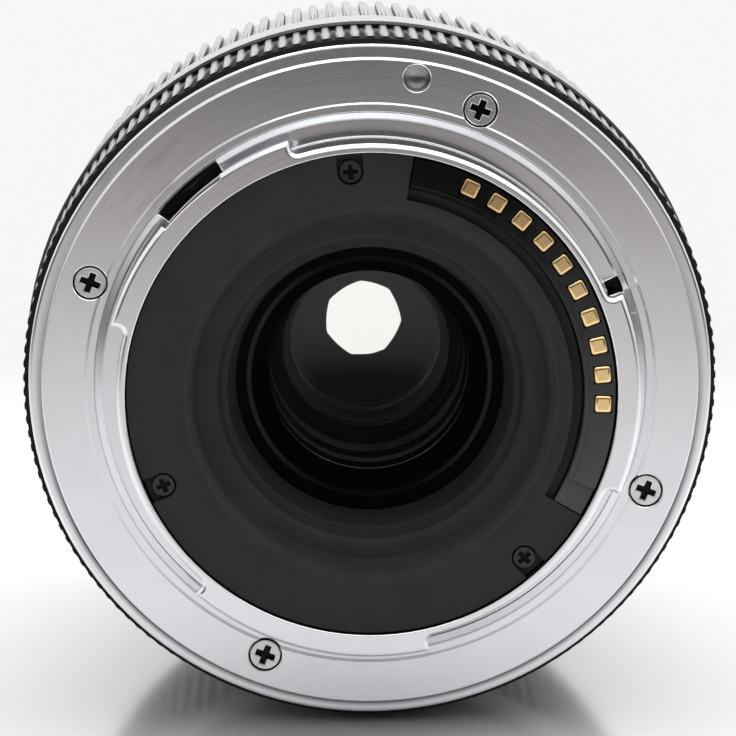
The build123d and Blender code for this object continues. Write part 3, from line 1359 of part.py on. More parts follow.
NODES = {
    "bayonet_mount": bayonet_mount,
    "mount_screws": mount_screws,
    "mount_shim": mount_shim,
    "rear_barrel": rear_barrel,
    "grip_ring": grip_ring,
    "focus_ring": focus_ring,
    "ring_bearings": ring_bearings,
    "encoder_strip": encoder_strip,
    "encoder_sensor": encoder_sensor,
    "inner_frame": inner_frame,
    "barrel_screws": barrel_screws,
    "front_barrel": front_barrel,
    "front_barrel_screws": front_barrel_screws,
    "rear_baffle": rear_baffle,
    "baffle_screws": baffle_screws,
    "contact_block": contact_block,
    "contact_pins": contact_pins,
    "contact_flex": contact_flex,
    "main_board": main_board,
    "board_screws": board_screws,
    "board_chips": board_chips,
    "motor_flex": motor_flex,
    "rear_cell": rear_cell,
    "rear_retaining_ring": rear_retaining_ring,
    "rear_element": rear_element,
    "rear_spacer": rear_spacer,
    "rear_inner_element": rear_inner_element,
    "focus_cell": focus_cell,
    "focus_element": focus_element,
    "focus_retaining_ring": focus_retaining_ring,
    "focus_nut": focus_nut,
    "guide_rods": guide_rods,
    "lead_screw": lead_screw,
    "focus_motor": focus_motor,
    "iris_base": iris_base,
    "iris_ring": iris_ring,
    "iris_cover": iris_cover,
    "iris_screws": iris_screws,
    "iris_pinion": iris_pinion,
    "iris_motor": iris_motor,
    "front_cell": front_cell,
    "front_inner_element": front_inner_element,
    "front_spacer": front_spacer,
    "front_mid_element": front_mid_element,
    "front_seat_ring": front_seat_ring,
    "front_element": front_element,
    "trim_ring": trim_ring,
}

for name, make in NODES.items():
    write(name, make())
for number in range(BLADE_COUNT):
    write(f"iris_blade_{number + 1}", iris_blade(number))
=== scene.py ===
import json
from math import cos, radians, sin

import bmesh
import bpy
from mathutils import Matrix, Vector


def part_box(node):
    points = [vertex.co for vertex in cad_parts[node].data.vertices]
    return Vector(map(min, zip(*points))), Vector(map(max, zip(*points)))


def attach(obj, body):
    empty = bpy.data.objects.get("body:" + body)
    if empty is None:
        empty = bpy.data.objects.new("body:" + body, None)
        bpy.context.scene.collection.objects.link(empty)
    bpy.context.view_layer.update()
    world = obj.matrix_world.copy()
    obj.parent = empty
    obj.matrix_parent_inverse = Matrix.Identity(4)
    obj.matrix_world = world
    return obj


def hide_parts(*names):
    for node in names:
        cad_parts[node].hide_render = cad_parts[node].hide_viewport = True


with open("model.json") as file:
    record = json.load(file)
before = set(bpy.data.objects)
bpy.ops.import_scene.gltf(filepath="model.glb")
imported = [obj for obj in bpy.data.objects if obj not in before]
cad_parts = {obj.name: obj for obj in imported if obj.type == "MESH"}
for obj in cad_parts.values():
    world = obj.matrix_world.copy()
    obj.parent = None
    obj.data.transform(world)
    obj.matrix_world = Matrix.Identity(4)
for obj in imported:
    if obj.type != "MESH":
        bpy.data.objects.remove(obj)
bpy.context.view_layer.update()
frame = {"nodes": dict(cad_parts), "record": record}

# Prime lens lying on its side, rear towards -Y. Lengths are in metres.
MM = 0.001
FLOOR_Z = -32.2 * MM
MOUNT_SCREW_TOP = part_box("mount_screws")[0][1]
BAFFLE_SCREW_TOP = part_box("baffle_screws")[0][1]

# Distances from the optical axis
CLAMP_MOUTH = 10.85 * MM
WELL_SLOPE_INNER = 16.0 * MM
WELL_SLOPE_OUTER = 16.8 * MM
SEAT_MIDDLE = 28.0 * MM
SEAT_EDGE = 29.75 * MM
TOOTH_ROOT = 31.5 * MM

# Depth from which the mount's gaps get painted shade, along the axis from the seat
SHADED_GAP_DEPTH = 1.0 * MM

LOCK_HOLE_REACH = 28.3 * MM
LOCK_HOLE_ANGLE = radians(81.7)
LOCK_HOLE = Vector((LOCK_HOLE_REACH * cos(LOCK_HOLE_ANGLE), 0.0, LOCK_HOLE_REACH * sin(LOCK_HOLE_ANGLE)))
RUB_CENTRE = (-20.5 * MM, 0.0, 20.5 * MM)

# Brightness of the pale backdrop as the camera sees it
BACKDROP = 0.925

BLADE_COUNT = 7
STRIPE_COUNT = 180.0


# Node building

def put(tree, kind, inputs=(), **settings):
    """Adds a node, sets it up, and links or sets its inputs."""
    made = tree.nodes.new(kind)
    for key, value in settings.items():
        setattr(made, key, value)
    for key, value in dict(inputs).items():
        connect(tree, value, made.inputs[key])
    return made


def connect(tree, value, socket):
    """Links a socket to the input, or sets the input to a constant."""
    if isinstance(value, bpy.types.NodeSocket):
        tree.links.new(value, socket)
    else:
        socket.default_value = value


def calc(tree, operation, *values):
    return put(tree, "ShaderNodeMath", enumerate(values), operation=operation).outputs[0]


def product(tree, first, *others):
    """All the values multiplied together."""
    for other in others:
        first = calc(tree, "MULTIPLY", first, other)
    return first


def between(tree, value, start, end, low=0.0, high=1.0):
    """Value from low to high as the input goes from start to end, held outside them."""
    inputs = {0: value, 1: start, 2: end, 3: low, 4: high}
    return put(tree, "ShaderNodeMapRange", inputs).outputs[0]


def grey(level):
    return (level, level, level)


def tinted(tree, share, first, second):
    """Mix of two colours, each given as three numbers or as a socket."""
    mix = put(tree, "ShaderNodeMix", data_type="RGBA")
    for key, value in ((0, share), (6, first), (7, second)):
        if isinstance(value, tuple):
            value = [*value, 1.0]
        connect(tree, value, mix.inputs[key])
    return mix.outputs[2]


def place(tree):
    return put(tree, "ShaderNodeTexCoord").outputs["Object"]


def coordinate(tree, number):
    """Place along X, Y or Z, for the numbers 0, 1 and 2."""
    return put(tree, "ShaderNodeSeparateXYZ", {0: place(tree)}).outputs[number]


def distance(tree, where, spot):
    return put(tree, "ShaderNodeVectorMath", {0: where, 1: spot}, operation="DISTANCE").outputs["Value"]


def grain(tree, per_mm, detail=3.0, rough=0.55, where=None):
    """Noise with about so many spots in a millimetre."""
    inputs = {"Vector": where or place(tree), "Scale": per_mm / MM, "Detail": detail, "Roughness": rough}
    return put(tree, "ShaderNodeTexNoise", inputs).outputs["Fac"]


def axis_reach(tree):
    """Distance from the optical axis in metres."""
    parts = put(tree, "ShaderNodeSeparateXYZ", {0: place(tree)}).outputs
    flat = put(tree, "ShaderNodeCombineXYZ", {0: parts[0], 2: parts[2]}).outputs[0]
    return put(tree, "ShaderNodeVectorMath", {0: flat}, operation="LENGTH").outputs["Value"]


def round_axis(tree, stretch):
    """Place unrolled round the axis, so that a noise read there is drawn out along the turning."""
    parts = put(tree, "ShaderNodeSeparateXYZ", {0: place(tree)}).outputs
    angle = calc(tree, "ARCTAN2", parts[2], parts[0])
    along = calc(tree, "MULTIPLY", angle, SEAT_MIDDLE / stretch)
    return put(tree, "ShaderNodeCombineXYZ", {0: axis_reach(tree), 1: along}).outputs[0]


def tool_rings(tree, value, per_mm):
    """Noise that changes along one measure only, as the marks of a lathe tool do."""
    inputs = {"W": value, "Scale": per_mm / MM, "Detail": 2.0}
    return put(tree, "ShaderNodeTexNoise", inputs, noise_dimensions="1D").outputs["Fac"]


def raised(tree, height, deep_mm, strength=1.0, under=None):
    inputs = {"Height": height, "Distance": deep_mm * MM, "Strength": strength}
    if under:
        inputs["Normal"] = under
    return put(tree, "ShaderNodeBump", inputs).outputs[0]


def finish(name, **constants):
    """A material with its constants set on the shader's own sockets."""
    made = bpy.data.materials.new(name)
    made.use_nodes = True
    shader = made.node_tree.nodes["Principled BSDF"]
    for key, value in constants.items():
        key = key.replace("_", " ").title().replace("Ior", "IOR")
        shader.inputs[key].default_value = value
    return made, made.node_tree, shader


def wire(tree, shader, colour, roughness=None, normal=None, alpha=None):
    sockets = {"Base Color": colour, "Roughness": roughness, "Normal": normal, "Alpha": alpha}
    for key, value in sockets.items():
        if value:
            tree.links.new(value, shader.inputs[key])


# Finishes

def plated_metal():
    """Satin chrome with lathe rings and a worn spot, and painted shade in its gaps and beside the seat's
    edge.
    """
    made, tree, shader = finish("satin_chrome", metallic=1.0)
    reach = axis_reach(tree)
    deep = coordinate(tree, 1)
    fine = tool_rings(tree, reach, 14.0)
    broad = tool_rings(tree, reach, 1.6)
    cloud = grain(tree, 0.12, 4.0)
    speck = grain(tree, 3.0, 2.0)
    colour = tinted(tree, between(tree, cloud, 0.35, 0.7), (0.88, 0.888, 0.91), (0.84, 0.845, 0.86))
    # Painted shade at the base of the step beside the seat's edge, stronger lower down.
    painted_foot_shade = product(
        tree,
        between(tree, reach, SEAT_EDGE - 0.25 * MM, SEAT_EDGE - 0.05 * MM),
        between(tree, deep, 0.2 * MM, 0.4 * MM),
        between(tree, reach, SEAT_EDGE + 0.7 * MM, SEAT_EDGE + 0.2 * MM),
        between(tree, coordinate(tree, 2), 16.0 * MM, -14.0 * MM, 0.0, 0.97))
    colour = tinted(tree, painted_foot_shade, colour, grey(0.06))
    # Painted shade in the mount's deep gaps, along the axis past the seat.
    colour = tinted(tree, between(tree, deep, SHADED_GAP_DEPTH, SHADED_GAP_DEPTH + 0.2 * MM), colour, (0.012, 0.012, 0.013))
    scuffs = grain(tree, 1.0, 5.0, 0.65, round_axis(tree, 7.0))
    rub = product(
        tree,
        between(tree, distance(tree, place(tree), RUB_CENTRE), 7.0 * MM, 1.0 * MM),
        between(tree, scuffs, 0.5, 0.7))
    colour = tinted(tree, rub, colour, (0.50, 0.45, 0.43))
    rough = between(tree, fine, 0.3, 0.7, 0.11, 0.17)
    rough = calc(tree, "ADD", rough, between(tree, speck, 0.6, 0.75, 0.0, 0.06))
    rough = calc(tree, "ADD", rough, calc(tree, "MULTIPLY", rub, 0.14))
    bump = raised(tree, fine, 0.0003)
    bump = raised(tree, broad, 0.0012, under=bump)
    wire(tree, shader, colour, rough, bump)
    return made


def bright_steel(name, colour, dull, roughness, recess_from=None):
    """Plated steel. Past recess_from along the axis it has painted shade, as in the cross of a screw's head.
    """
    made, tree, shader = finish(name, metallic=1.0)
    cloud = grain(tree, 0.9, 4.0)
    speck = grain(tree, 7.0, 3.0)
    tint = tinted(tree, between(tree, cloud, 0.4, 0.7), colour, dull)
    if recess_from is not None:
        # Painted shade in the hollow past recess_from, such as a screw head's cross.
        painted_recess_shade = between(tree, coordinate(tree, 1), recess_from, recess_from + 0.2 * MM)
        tint = tinted(tree, painted_recess_shade, tint, grey(0.012))
    rough = between(tree, speck, 0.3, 0.7, roughness - 0.04, roughness + 0.08)
    wire(tree, shader, tint, rough, raised(tree, speck, 0.0015))
    return made


def anodised(name, colour, worn, roughness, specular, painted_shade_within=None):
    """Satin black anodised aluminium with a fine grain. Nearer the axis than the given reach it has painted
    shade: black and rough.
    """
    made, tree, shader = finish(name, specular_ior_level=specular)
    etch = grain(tree, 9.0, 3.0)
    cloud = grain(tree, 0.25, 4.0)
    tint = tinted(tree, between(tree, cloud, 0.35, 0.7), colour, worn)
    rough = between(tree, etch, 0.3, 0.7, roughness - 0.06, roughness + 0.08)
    # Painted shade inside the given reach, such as the gaps between the grip ring's teeth.
    if painted_shade_within:
        reach = axis_reach(tree)
        lit_from = painted_shade_within + 0.15 * MM
        tint = tinted(tree, between(tree, reach, painted_shade_within, lit_from), grey(0.001), tint)
        rough = calc(tree, "MAXIMUM", rough, between(tree, reach, painted_shade_within, lit_from, 0.95, 0.0))
    wire(tree, shader, tint, rough, raised(tree, etch, 0.003, 0.6))
    return made


def clamp_ring_black():
    """Black retaining ring, with painted highlights in grey on its mouth at both sides."""
    made, tree, shader = finish("clamp_ring_anodised", specular_ior_level=0.1)
    etch = grain(tree, 6.0, 4.0)
    side = calc(tree, "ABSOLUTE", coordinate(tree, 0))
    # Painted highlight on the ring's mouth, towards the sides.
    painted_highlight = product(
        tree,
        between(tree, axis_reach(tree), CLAMP_MOUTH, CLAMP_MOUTH + 0.15 * MM),
        between(tree, side, 4.0 * MM, 9.5 * MM),
        between(tree, etch, 0.3, 0.6, 0.7, 1.0))
    tint = tinted(tree, painted_highlight, (0.003, 0.003, 0.0035), (0.034, 0.034, 0.038))
    wire(tree, shader, tint, between(tree, etch, 0.3, 0.7, 0.4, 0.55), raised(tree, etch, 0.003, 0.6))
    return made


def moulded(name, colour, shade, roughness, grain_per_mm=5.0, deep=0.004, specular=0.5):
    """Moulded plastic with a fine even texture."""
    made, tree, shader = finish(name, specular_ior_level=specular)
    fine = grain(tree, grain_per_mm, 2.0)
    cloud = grain(tree, 0.3, 3.0)
    tint = tinted(tree, between(tree, cloud, 0.35, 0.7), colour, shade)
    rough = between(tree, fine, 0.3, 0.7, roughness - 0.05, roughness + 0.07)
    wire(tree, shader, tint, rough, raised(tree, fine, deep, 0.7))
    return made


def baffle_black():
    """Matte black plastic with a violet cast, and a painted highlight, stronger at the sides, on the sloping
    part at the mouth of the well.
    """
    made, tree, shader = finish("baffle_black", specular_ior_level=0.35)
    fine = grain(tree, 7.0, 2.0)
    cloud = grain(tree, 0.3, 3.0)
    reach = axis_reach(tree)
    side = calc(tree, "ABSOLUTE", coordinate(tree, 0))
    # Painted highlight on the sloping part at the mouth of the well, stronger towards the sides.
    painted_slope_highlight = product(
        tree,
        between(tree, reach, WELL_SLOPE_INNER, WELL_SLOPE_INNER + 0.2 * MM),
        between(tree, reach, WELL_SLOPE_OUTER, WELL_SLOPE_OUTER - 0.2 * MM),
        between(tree, side, 3.0 * MM, 13.0 * MM, 0.15, 0.7))
    tint = tinted(tree, between(tree, cloud, 0.35, 0.7), (0.0243, 0.0218, 0.0246), (0.031, 0.028, 0.0315))
    tint = tinted(tree, painted_slope_highlight, tint, (0.055, 0.053, 0.057))
    wire(tree, shader, tint, between(tree, fine, 0.3, 0.7, 0.63, 0.75), raised(tree, fine, 0.005, 0.7))
    return made


def block_plastic():
    """Smooth black plastic with painted light and shade: greyer towards the lower end of the block and black
    towards its top.
    """
    made, tree, shader = finish("block_plastic", specular_ior_level=0.12)
    fine = grain(tree, 4.0, 2.0)
    cloud = grain(tree, 0.5, 4.0)
    height = calc(tree, "ADD", coordinate(tree, 2), between(tree, cloud, 0.3, 0.7, -2.0 * MM, 2.0 * MM))
    # Painted shade darkening the block towards its top, with a painted sheen lower down.
    painted_top_darkening = between(tree, height, -9.0 * MM, 18.0 * MM)
    tint = tinted(tree, painted_top_darkening, (0.095, 0.095, 0.10), (0.003, 0.003, 0.0034))
    wire(tree, shader, tint, between(tree, fine, 0.3, 0.7, 0.18, 0.28), raised(tree, fine, 0.001, 0.7))
    return made


def gold_plate():
    """Gold with fine scratches, and a painted dark reflection that makes the higher contacts browner."""
    made, tree, shader = finish("gold_plate", metallic=1.0)
    cloud = grain(tree, 1.2, 4.0)
    scratch = grain(tree, 6.0, 3.0)
    tint = tinted(tree, between(tree, cloud, 0.35, 0.7), (1.0, 0.76, 0.39), (1.0, 0.70, 0.32))
    # Painted dark reflection, browner on the higher contacts.
    painted_top_darkening = between(tree, coordinate(tree, 2), 6.0 * MM, 19.0 * MM, 0.0, 0.6)
    tint = tinted(tree, painted_top_darkening, tint, (0.42, 0.25, 0.11))
    wire(tree, shader, tint, between(tree, scratch, 0.3, 0.7, 0.16, 0.24), raised(tree, scratch, 0.0003))
    return made


def board_lacquer():
    made, tree, shader = finish("board_lacquer", coat_weight=0.4)
    bricks = {"Vector": place(tree), "Scale": 0.35 / MM, "Mortar Size": 0.06}
    traces = put(tree, "ShaderNodeTexBrick", bricks).outputs["Fac"]
    tint = tinted(tree, traces, (0.02, 0.10, 0.055), (0.05, 0.19, 0.10))
    rough = between(tree, grain(tree, 4.0), 0.3, 0.7, 0.3, 0.42)
    wire(tree, shader, tint, rough, raised(tree, traces, 0.02, 0.4))
    return made


def polyimide():
    made, tree, shader = finish("polyimide_film", coat_weight=0.3)
    weave = grain(tree, 2.0, 2.0)
    tint = tinted(tree, weave, (0.42, 0.20, 0.045), (0.60, 0.33, 0.09))
    wire(tree, shader, tint, between(tree, weave, 0.3, 0.7, 0.28, 0.4), raised(tree, weave, 0.004, 0.5))
    return made


def striped_film():
    """Film with fine light and dark stripes along the axis, all round."""
    made, tree, shader = finish("striped_film")
    on_end = put(tree, "ShaderNodeMapping", {0: place(tree), "Rotation": (radians(90), 0, 0)}).outputs[0]
    turn = put(tree, "ShaderNodeTexGradient", {0: on_end}, gradient_type="RADIAL").outputs["Fac"]
    stripes = calc(tree, "FRACT", calc(tree, "MULTIPLY", turn, STRIPE_COUNT))
    tint = tinted(tree, between(tree, stripes, 0.48, 0.52), grey(0.03), (0.62, 0.62, 0.6))
    wire(tree, shader, tint, between(tree, grain(tree, 3.0), 0.3, 0.7, 0.25, 0.35))
    return made


def clear_glass(name, tint, facing, grazing, coat):
    """Coated glass seen through by transparency, a little denser where it is seen at a slant."""
    made, tree, shader = finish(name, roughness=0.02, specular_ior_level=0.35, coat_weight=coat,
                                coat_roughness=0.02)
    slant = put(tree, "ShaderNodeLayerWeight", {"Blend": 0.35}).outputs["Facing"]
    film = grain(tree, 0.08, 2.0)
    shade = tinted(tree, between(tree, film, 0.3, 0.7), tint, tuple(0.8 * c for c in tint))
    wire(tree, shader, shade, alpha=between(tree, slant, 0.2, 1.0, facing, grazing))
    return made


def deep_glass(name, tint, ior, coat=0.0):
    """Coated glass that bends light."""
    made, tree, shader = finish(name, transmission_weight=1.0, ior=ior, roughness=0.0, coat_weight=coat,
                                coat_roughness=0.01, specular_tint=(0.75, 1.0, 0.85, 1.0))
    film = grain(tree, 0.05, 2.0)
    wire(tree, shader, tinted(tree, between(tree, film, 0.3, 0.7), tint, tuple(0.99 * c for c in tint)))
    return made


SATIN_CHROME = plated_metal()
SCREW_STEEL = bright_steel("screw_nickel", (0.78, 0.78, 0.79), (0.66, 0.65, 0.64), 0.16,
                           MOUNT_SCREW_TOP + 0.16 * MM)
# The darker steel at the floor of the lock hole is painted shade for the bottom of the hole.
SHADED_HOLE_STEEL = bright_steel("hole_floor_shaded_steel", (0.34, 0.34, 0.35), (0.24, 0.24, 0.25), 0.24)
PLAIN_STEEL = bright_steel("plain_nickel", grey(0.70), (0.60, 0.585, 0.57), 0.22)
BLACK_SCREW = bright_steel("black_oxide", (0.06, 0.058, 0.06), (0.045, 0.044, 0.046), 0.3,
                           BAFFLE_SCREW_TOP + 0.05 * MM)
SHIM = bright_steel("rolled_shim", grey(0.6), grey(0.5), 0.3)
BARREL_BLACK = anodised("barrel_anodised", (0.012, 0.0118, 0.0115), (0.02, 0.0195, 0.019), 0.3, 0.4)
GRIP_BLACK = anodised("grip_anodised", grey(0.010), (0.018, 0.0175, 0.017), 0.3, 0.3, TOOTH_ROOT)
RIB_BLACK = anodised("rib_anodised", (0.012, 0.0118, 0.0115), (0.022, 0.0215, 0.021), 0.32, 0.4)
CLAMP_BLACK = clamp_ring_black()
CELL_BLACK = anodised("cell_anodised", (0.0035, 0.0038, 0.0035), (0.006, 0.0064, 0.006), 0.6, 0.02)
FRAME_PLASTIC = moulded("frame_plastic", (0.005, 0.0055, 0.005), (0.008, 0.0085, 0.008), 0.7, specular=0.03)
BAFFLE_BLACK = baffle_black()
BLADE_BLACK = moulded("blade_black", (0.012, 0.0125, 0.008), (0.018, 0.018, 0.011), 0.6, 8.0, 0.001, 0.05)
TRIM_BLACK = moulded("trim_black", (0.018, 0.018, 0.019), (0.026, 0.026, 0.027), 0.55)
CHIP_PLASTIC = moulded("chip_plastic", (0.008, 0.008, 0.009), (0.012, 0.0115, 0.012), 0.3, 4.0, 0.001)
BLOCK_PLASTIC = block_plastic()
GOLD = gold_plate()
BOARD = board_lacquer()
FILM = polyimide()
STRIPES = striped_film()
BRASS = bright_steel("machined_brass", (0.80, 0.62, 0.30), (0.68, 0.50, 0.24), 0.26)
MOTOR_CAN = bright_steel("motor_can", (0.56, 0.56, 0.57), (0.46, 0.46, 0.47), 0.3)
REAR_GLASS = deep_glass("rear_glass", grey(1.0), 1.10)
MIDDLE_GLASS = deep_glass("middle_glass", (1.0, 1.0, 0.97), 1.05, 0.4)
GROUND_EDGE = anodised("blackened_edge", grey(0.004), grey(0.007), 0.7, 0.1)
INNER_GLASS = clear_glass("inner_glass", (0.02, 0.024, 0.014), 0.02, 0.08, 0.05)
FRONT_GLASS = deep_glass("front_glass", grey(1.0), 1.12)

WEARS = {
    SATIN_CHROME: ["bayonet_mount"],
    SCREW_STEEL: ["mount_screws"],
    PLAIN_STEEL: ["barrel_screws", "front_barrel_screws", "board_screws", "iris_screws",
                  "guide_rods", "lead_screw"],
    BLACK_SCREW: ["baffle_screws"],
    SHIM: ["mount_shim"],
    BARREL_BLACK: ["rear_barrel", "front_barrel"],
    GRIP_BLACK: ["grip_ring"],
    RIB_BLACK: ["focus_ring"],
    CELL_BLACK: ["rear_cell", "rear_spacer", "front_spacer", "front_seat_ring", "front_cell", "iris_ring"],
    CLAMP_BLACK: ["rear_retaining_ring"],
    FRAME_PLASTIC: ["inner_frame", "focus_cell", "focus_retaining_ring", "iris_base", "iris_cover",
                    "ring_bearings"],
    BAFFLE_BLACK: ["rear_baffle"],
    BLADE_BLACK: [f"iris_blade_{number + 1}" for number in range(BLADE_COUNT)],
    TRIM_BLACK: ["trim_ring"],
    BLOCK_PLASTIC: ["contact_block"],
    CHIP_PLASTIC: ["encoder_sensor", "board_chips"],
    GOLD: ["contact_pins"],
    BOARD: ["main_board"],
    FILM: ["contact_flex", "motor_flex"],
    STRIPES: ["encoder_strip"],
    BRASS: ["focus_nut", "iris_pinion"],
    MOTOR_CAN: ["focus_motor", "iris_motor"],
    REAR_GLASS: ["rear_element"],
    INNER_GLASS: ["rear_inner_element"],
    MIDDLE_GLASS: ["focus_element"],
    FRONT_GLASS: ["front_inner_element", "front_mid_element", "front_element"],
}
FINISH_OF = {node: made for made, nodes in WEARS.items() for node in nodes}
BODY_OF = {node: body for body, nodes in frame["record"]["behaviour"]["bodies"].items() for node in nodes}

for node, solid in frame["nodes"].items():
    for held in solid.material_slots:
        held.material = FINISH_OF[node]


# Pieces with broken edges and polished glasses

DOUBLES = 0.0005 * MM
FLAT_TURN = radians(0.4)
SHARP_TURN = radians(28)
ROUNDING_TURN = radians(50)
CURVE_TURN = radians(14)
GLASS_TURN = radians(12)
EDGE_OF_GLASS = 0.5


def in_scene(name, data):
    """An object at the origin that holds the data."""
    made = bpy.data.objects.new(name, data)
    bpy.context.scene.collection.objects.link(made)
    return made


def mesh_piece(made, name, *finishes):
    """Puts the mesh that was built in the scene, in its finishes."""
    mesh = bpy.data.meshes.new(name)
    made.to_mesh(mesh)
    made.free()
    for look in finishes:
        mesh.materials.append(look)
    return in_scene(name, mesh)


def merged(node):
    """The node's mesh with its doubled corners joined."""
    made = bmesh.new()
    made.from_mesh(frame["nodes"][node].data)
    bmesh.ops.remove_doubles(made, verts=made.verts, dist=DOUBLES)
    return made


def stand_in(made, node, name, *finishes):
    """Puts the mesh in the scene in place of the CAD node."""
    piece = mesh_piece(made, name, *finishes)
    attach(piece, BODY_OF[node])
    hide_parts(node)


def softened(node, edge_mm, segments):
    """A copy of a CAD node with its sharp edges rounded over and its flat faces left flat."""
    made = merged(node)
    bmesh.ops.dissolve_limit(made, verts=made.verts, edges=made.edges, angle_limit=FLAT_TURN)
    sharp = [e for e in made.edges if len(e.link_faces) == 2 and e.calc_face_angle() > SHARP_TURN]
    rounding = made.faces.layers.int.new("rounding")
    new_faces = bmesh.ops.bevel(
        made, geom=sharp, offset=edge_mm * MM, offset_type="OFFSET", affect="EDGES",
        segments=segments, profile=0.5, clamp_overlap=False, material=-1)["faces"]
    for face in new_faces:
        face[rounding] = 1
    bmesh.ops.triangulate(made, faces=[f for f in made.faces if len(f.verts) > 4])
    for face in made.faces:
        face.smooth = True
    for edge in made.edges:
        edge.smooth = False
        if len(edge.link_faces) == 2:
            first, second = (face[rounding] for face in edge.link_faces)
            limit = ROUNDING_TURN if first else CURVE_TURN
            edge.smooth = first == second and edge.calc_face_angle() < limit
    stand_in(made, node, node + "_softened", FINISH_OF[node])


def polished(node):
    """A lens element with evenly curved faces and a blackened edge."""
    made = merged(node)
    bmesh.ops.recalc_face_normals(made, faces=made.faces)
    for face in made.faces:
        face.smooth = True
        face.material_index = 1 if abs(face.normal.y) < EDGE_OF_GLASS else 0
    for edge in made.edges:
        edge.smooth = len(edge.link_faces) == 2 and edge.calc_face_angle() < GLASS_TURN
    stand_in(made, node, node + "_polished", FINISH_OF[node], GROUND_EDGE)


for node, edge_mm, segments in (
    ("bayonet_mount", 0.11, 2),
    ("rear_baffle", 0.06, 2),
    ("contact_block", 0.06, 2),
    ("contact_pins", 0.32, 4),
    ("mount_screws", 0.08, 2),
    ("baffle_screws", 0.06, 2),
    ("grip_ring", 0.09, 2),
    ("focus_ring", 0.07, 2),
):
    softened(node, edge_mm, segments)

for node in ("rear_element", "rear_inner_element", "focus_element",
             "front_inner_element", "front_mid_element", "front_element"):
    polished(node)


def lock_hole_floor():
    """The hollow left by the drill at the bottom of the lock hole, turned about the hole's own axis."""
    made = bmesh.new()
    outline = [(1.19, 1.49), (1.19, 0.95), (1.0, 1.0), (0.75, 1.16), (0.4, 1.3), (0.0, 1.34), (0.0, 1.49)]
    corners = [made.verts.new((reach * MM, deep * MM, 0.0)) for reach, deep in outline]
    edges = [made.edges.new(pair) for pair in zip(corners, corners[1:] + corners[:1])]
    bmesh.ops.spin(made, geom=corners + edges, cent=(0, 0, 0), axis=(0, 1, 0), angle=radians(360), steps=48,
                   use_merge=True)
    bmesh.ops.remove_doubles(made, verts=made.verts, dist=0.002 * MM)
    bmesh.ops.recalc_face_normals(made, faces=made.faces)
    bmesh.ops.translate(made, verts=made.verts, vec=LOCK_HOLE)
    for face in made.faces:
        face.smooth = True
    piece = mesh_piece(made, "lock_hole_floor", SHADED_HOLE_STEEL)
    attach(piece, BODY_OF["bayonet_mount"])


lock_hole_floor()


# Camera, floor and light

# The floor is shaded by the distance from a spot under the lens. Each pair is where a change
# begins and ends.
POOL_CENTRE = (0.0, -0.02, FLOOR_Z)
NEAR_TONE = (0.34, 0.08)
MIDDLE_TONE = (0.62, 0.36)
SHADOW_FADE = (0.05, 0.2)

# Along the axis, a little past the front of the lens
PAST_LENS = 60.0 * MM

# Share by which the sky is dimmed where it lights matt pieces
MATT_DIM = 0.2

CAMERA_SPOT = Vector((-5.74, -243.70, 52.20)) * MM
CAMERA_AHEAD = Vector((0.02205, 0.97908, -0.20227)).normalized()
CAMERA_UP = Vector((0.00455, 0.20222, 0.97933))

across = CAMERA_AHEAD.cross(CAMERA_UP).normalized()
above = across.cross(CAMERA_AHEAD)
turn = Matrix((across, above, -CAMERA_AHEAD)).transposed().to_4x4()
camera = in_scene("camera", bpy.data.cameras.new("camera"))
camera.matrix_world = Matrix.Translation(CAMERA_SPOT) @ turn
camera.data.lens = 134.7
camera.data.sensor_width = 36.0
camera.data.clip_start = 0.01
bpy.context.scene.camera = camera


def pale_floor():
    """Plain and pale to the camera far from the lens, and a lit grey near it that keeps the shadow.

    Past the lens it is white as seen through the glasses. To the plated mount, which reflects it, it has a
    painted pool of light, tinted and dimmer the further it lies from the lens.
    """
    made, tree, shader = finish("pale_floor", roughness=0.12, specular_ior_level=0.5)
    spread = put(tree, "ShaderNodeMapping", {0: place(tree), "Scale": (1.25, 1.0, 1.0)}).outputs[0]
    pool = distance(tree, spread, POOL_CENTRE)
    path = put(tree, "ShaderNodeLightPath").outputs
    # Painted pool of light for rays that don't come from the camera: bright near the lens, tinted and darker
    # further out.
    painted_light_pool = tinted(tree, between(tree, pool, *NEAR_TONE), (0.59, 0.53, 0.53), (0.84, 0.845, 0.86))
    painted_light_pool = tinted(tree, between(tree, pool, *MIDDLE_TONE), (0.25, 0.25, 0.265), painted_light_pool)
    wire(tree, shader, tinted(tree, path["Is Camera Ray"], painted_light_pool, grey(0.54)))
    ahead_of_lens = calc(tree, "GREATER_THAN", coordinate(tree, 1), PAST_LENS)
    through = calc(tree, "MULTIPLY", path["Is Transmission Ray"], ahead_of_lens)
    plain = put(tree, "ShaderNodeEmission", {0: tinted(tree, through, grey(BACKDROP), grey(1.0)), 1: 1.0})
    far = calc(tree, "MULTIPLY", path["Is Camera Ray"], between(tree, pool, *SHADOW_FADE))
    share = calc(tree, "MAXIMUM", far, through)
    both = put(tree, "ShaderNodeMixShader", {0: share, 1: shader.outputs[0], 2: plain.outputs[0]}).outputs[0]
    tree.links.new(both, tree.nodes["Material Output"].inputs[0])
    return made


floor_mesh = bmesh.new()
bmesh.ops.create_grid(floor_mesh, x_segments=1, y_segments=1, size=1.0,
                      matrix=Matrix.Translation((0.0, 0.2, FLOOR_Z)))
floor = mesh_piece(floor_mesh, "floor", pale_floor())


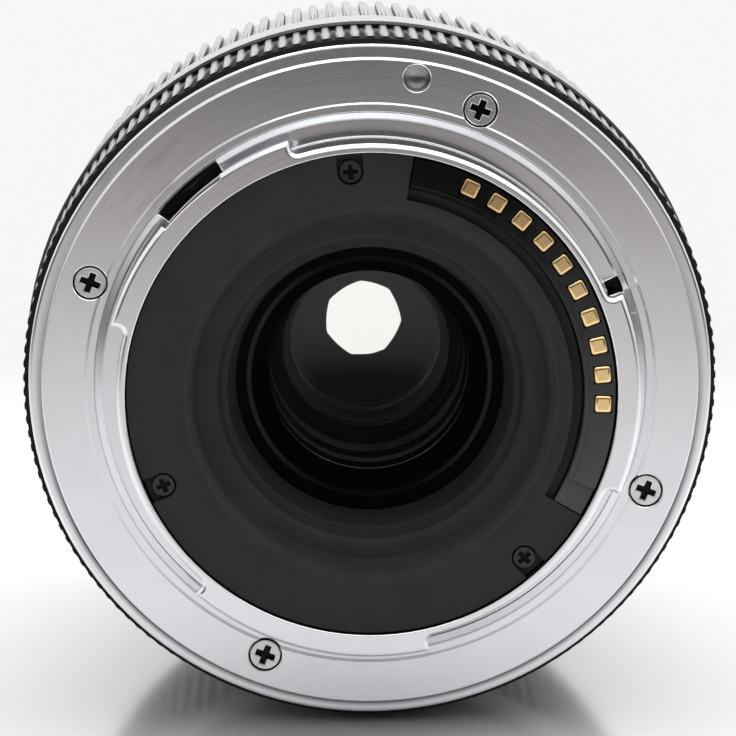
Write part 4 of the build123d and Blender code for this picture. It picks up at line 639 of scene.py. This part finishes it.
def studio_world():
    """Bright ahead and above, dark behind and below, and plain to the camera and through the lens."""
    world = bpy.data.worlds.new("studio")
    world.use_nodes = True
    tree = world.node_tree
    whole_way = put(tree, "ShaderNodeTexCoord").outputs["Generated"]
    way = put(tree, "ShaderNodeSeparateXYZ", {0: whole_way}).outputs
    lean = calc(tree, "ADD", calc(tree, "MULTIPLY", way[1], 0.55), calc(tree, "MULTIPLY", way[2], 0.8))
    lean = calc(tree, "ADD", lean, calc(tree, "MULTIPLY", calc(tree, "ABSOLUTE", way[0]), 0.12))
    ramp = put(tree, "ShaderNodeValToRGB", {0: between(tree, lean, -1.0, 1.0)})
    stops = ramp.color_ramp.elements
    stops[0].position, stops[0].color = 0.2, (0.06, 0.06, 0.06, 1.0)
    stops[1].position, stops[1].color = 0.66, (1.0, 1.0, 1.0, 1.0)
    for spot, tone in ((0.40, (0.13, 0.125, 0.12, 1.0)), (0.54, (0.6, 0.59, 0.58, 1.0))):
        stops.new(spot).color = tone
    path = put(tree, "ShaderNodeLightPath").outputs
    dimmed = tinted(tree, MATT_DIM, ramp.outputs[0], grey(0.0))
    seen = tinted(tree, path["Is Glossy Ray"], dimmed, ramp.outputs[0])
    seen = tinted(tree, path["Is Camera Ray"], seen, grey(BACKDROP))
    through = calc(tree, "MULTIPLY", path["Is Transmission Ray"], calc(tree, "GREATER_THAN", way[1], 0.0))
    seen = tinted(tree, through, seen, grey(1.0))
    tree.links.new(seen, tree.nodes["Background"].inputs["Color"])
    return world


bpy.context.scene.world = studio_world()

for name, spot, tilt, wide, high, watts in (
    ("overhead_softbox", (0.12, 0.12, 0.6), 0.0, 0.8, 0.6, 3.3),
    ("rear_softbox", (0.0, 1.1, 0.36), -72.0, 1.5, 0.6, 4.2),
):
    lamp = in_scene(name, bpy.data.lights.new(name, "AREA"))
    lamp.data.shape = "RECTANGLE"
    lamp.data.size, lamp.data.size_y = wide, high
    lamp.data.energy = watts
    lamp.location = spot
    lamp.rotation_euler = (radians(tilt), 0.0, 0.0)

bpy.context.scene.view_settings.view_transform = "Standard"
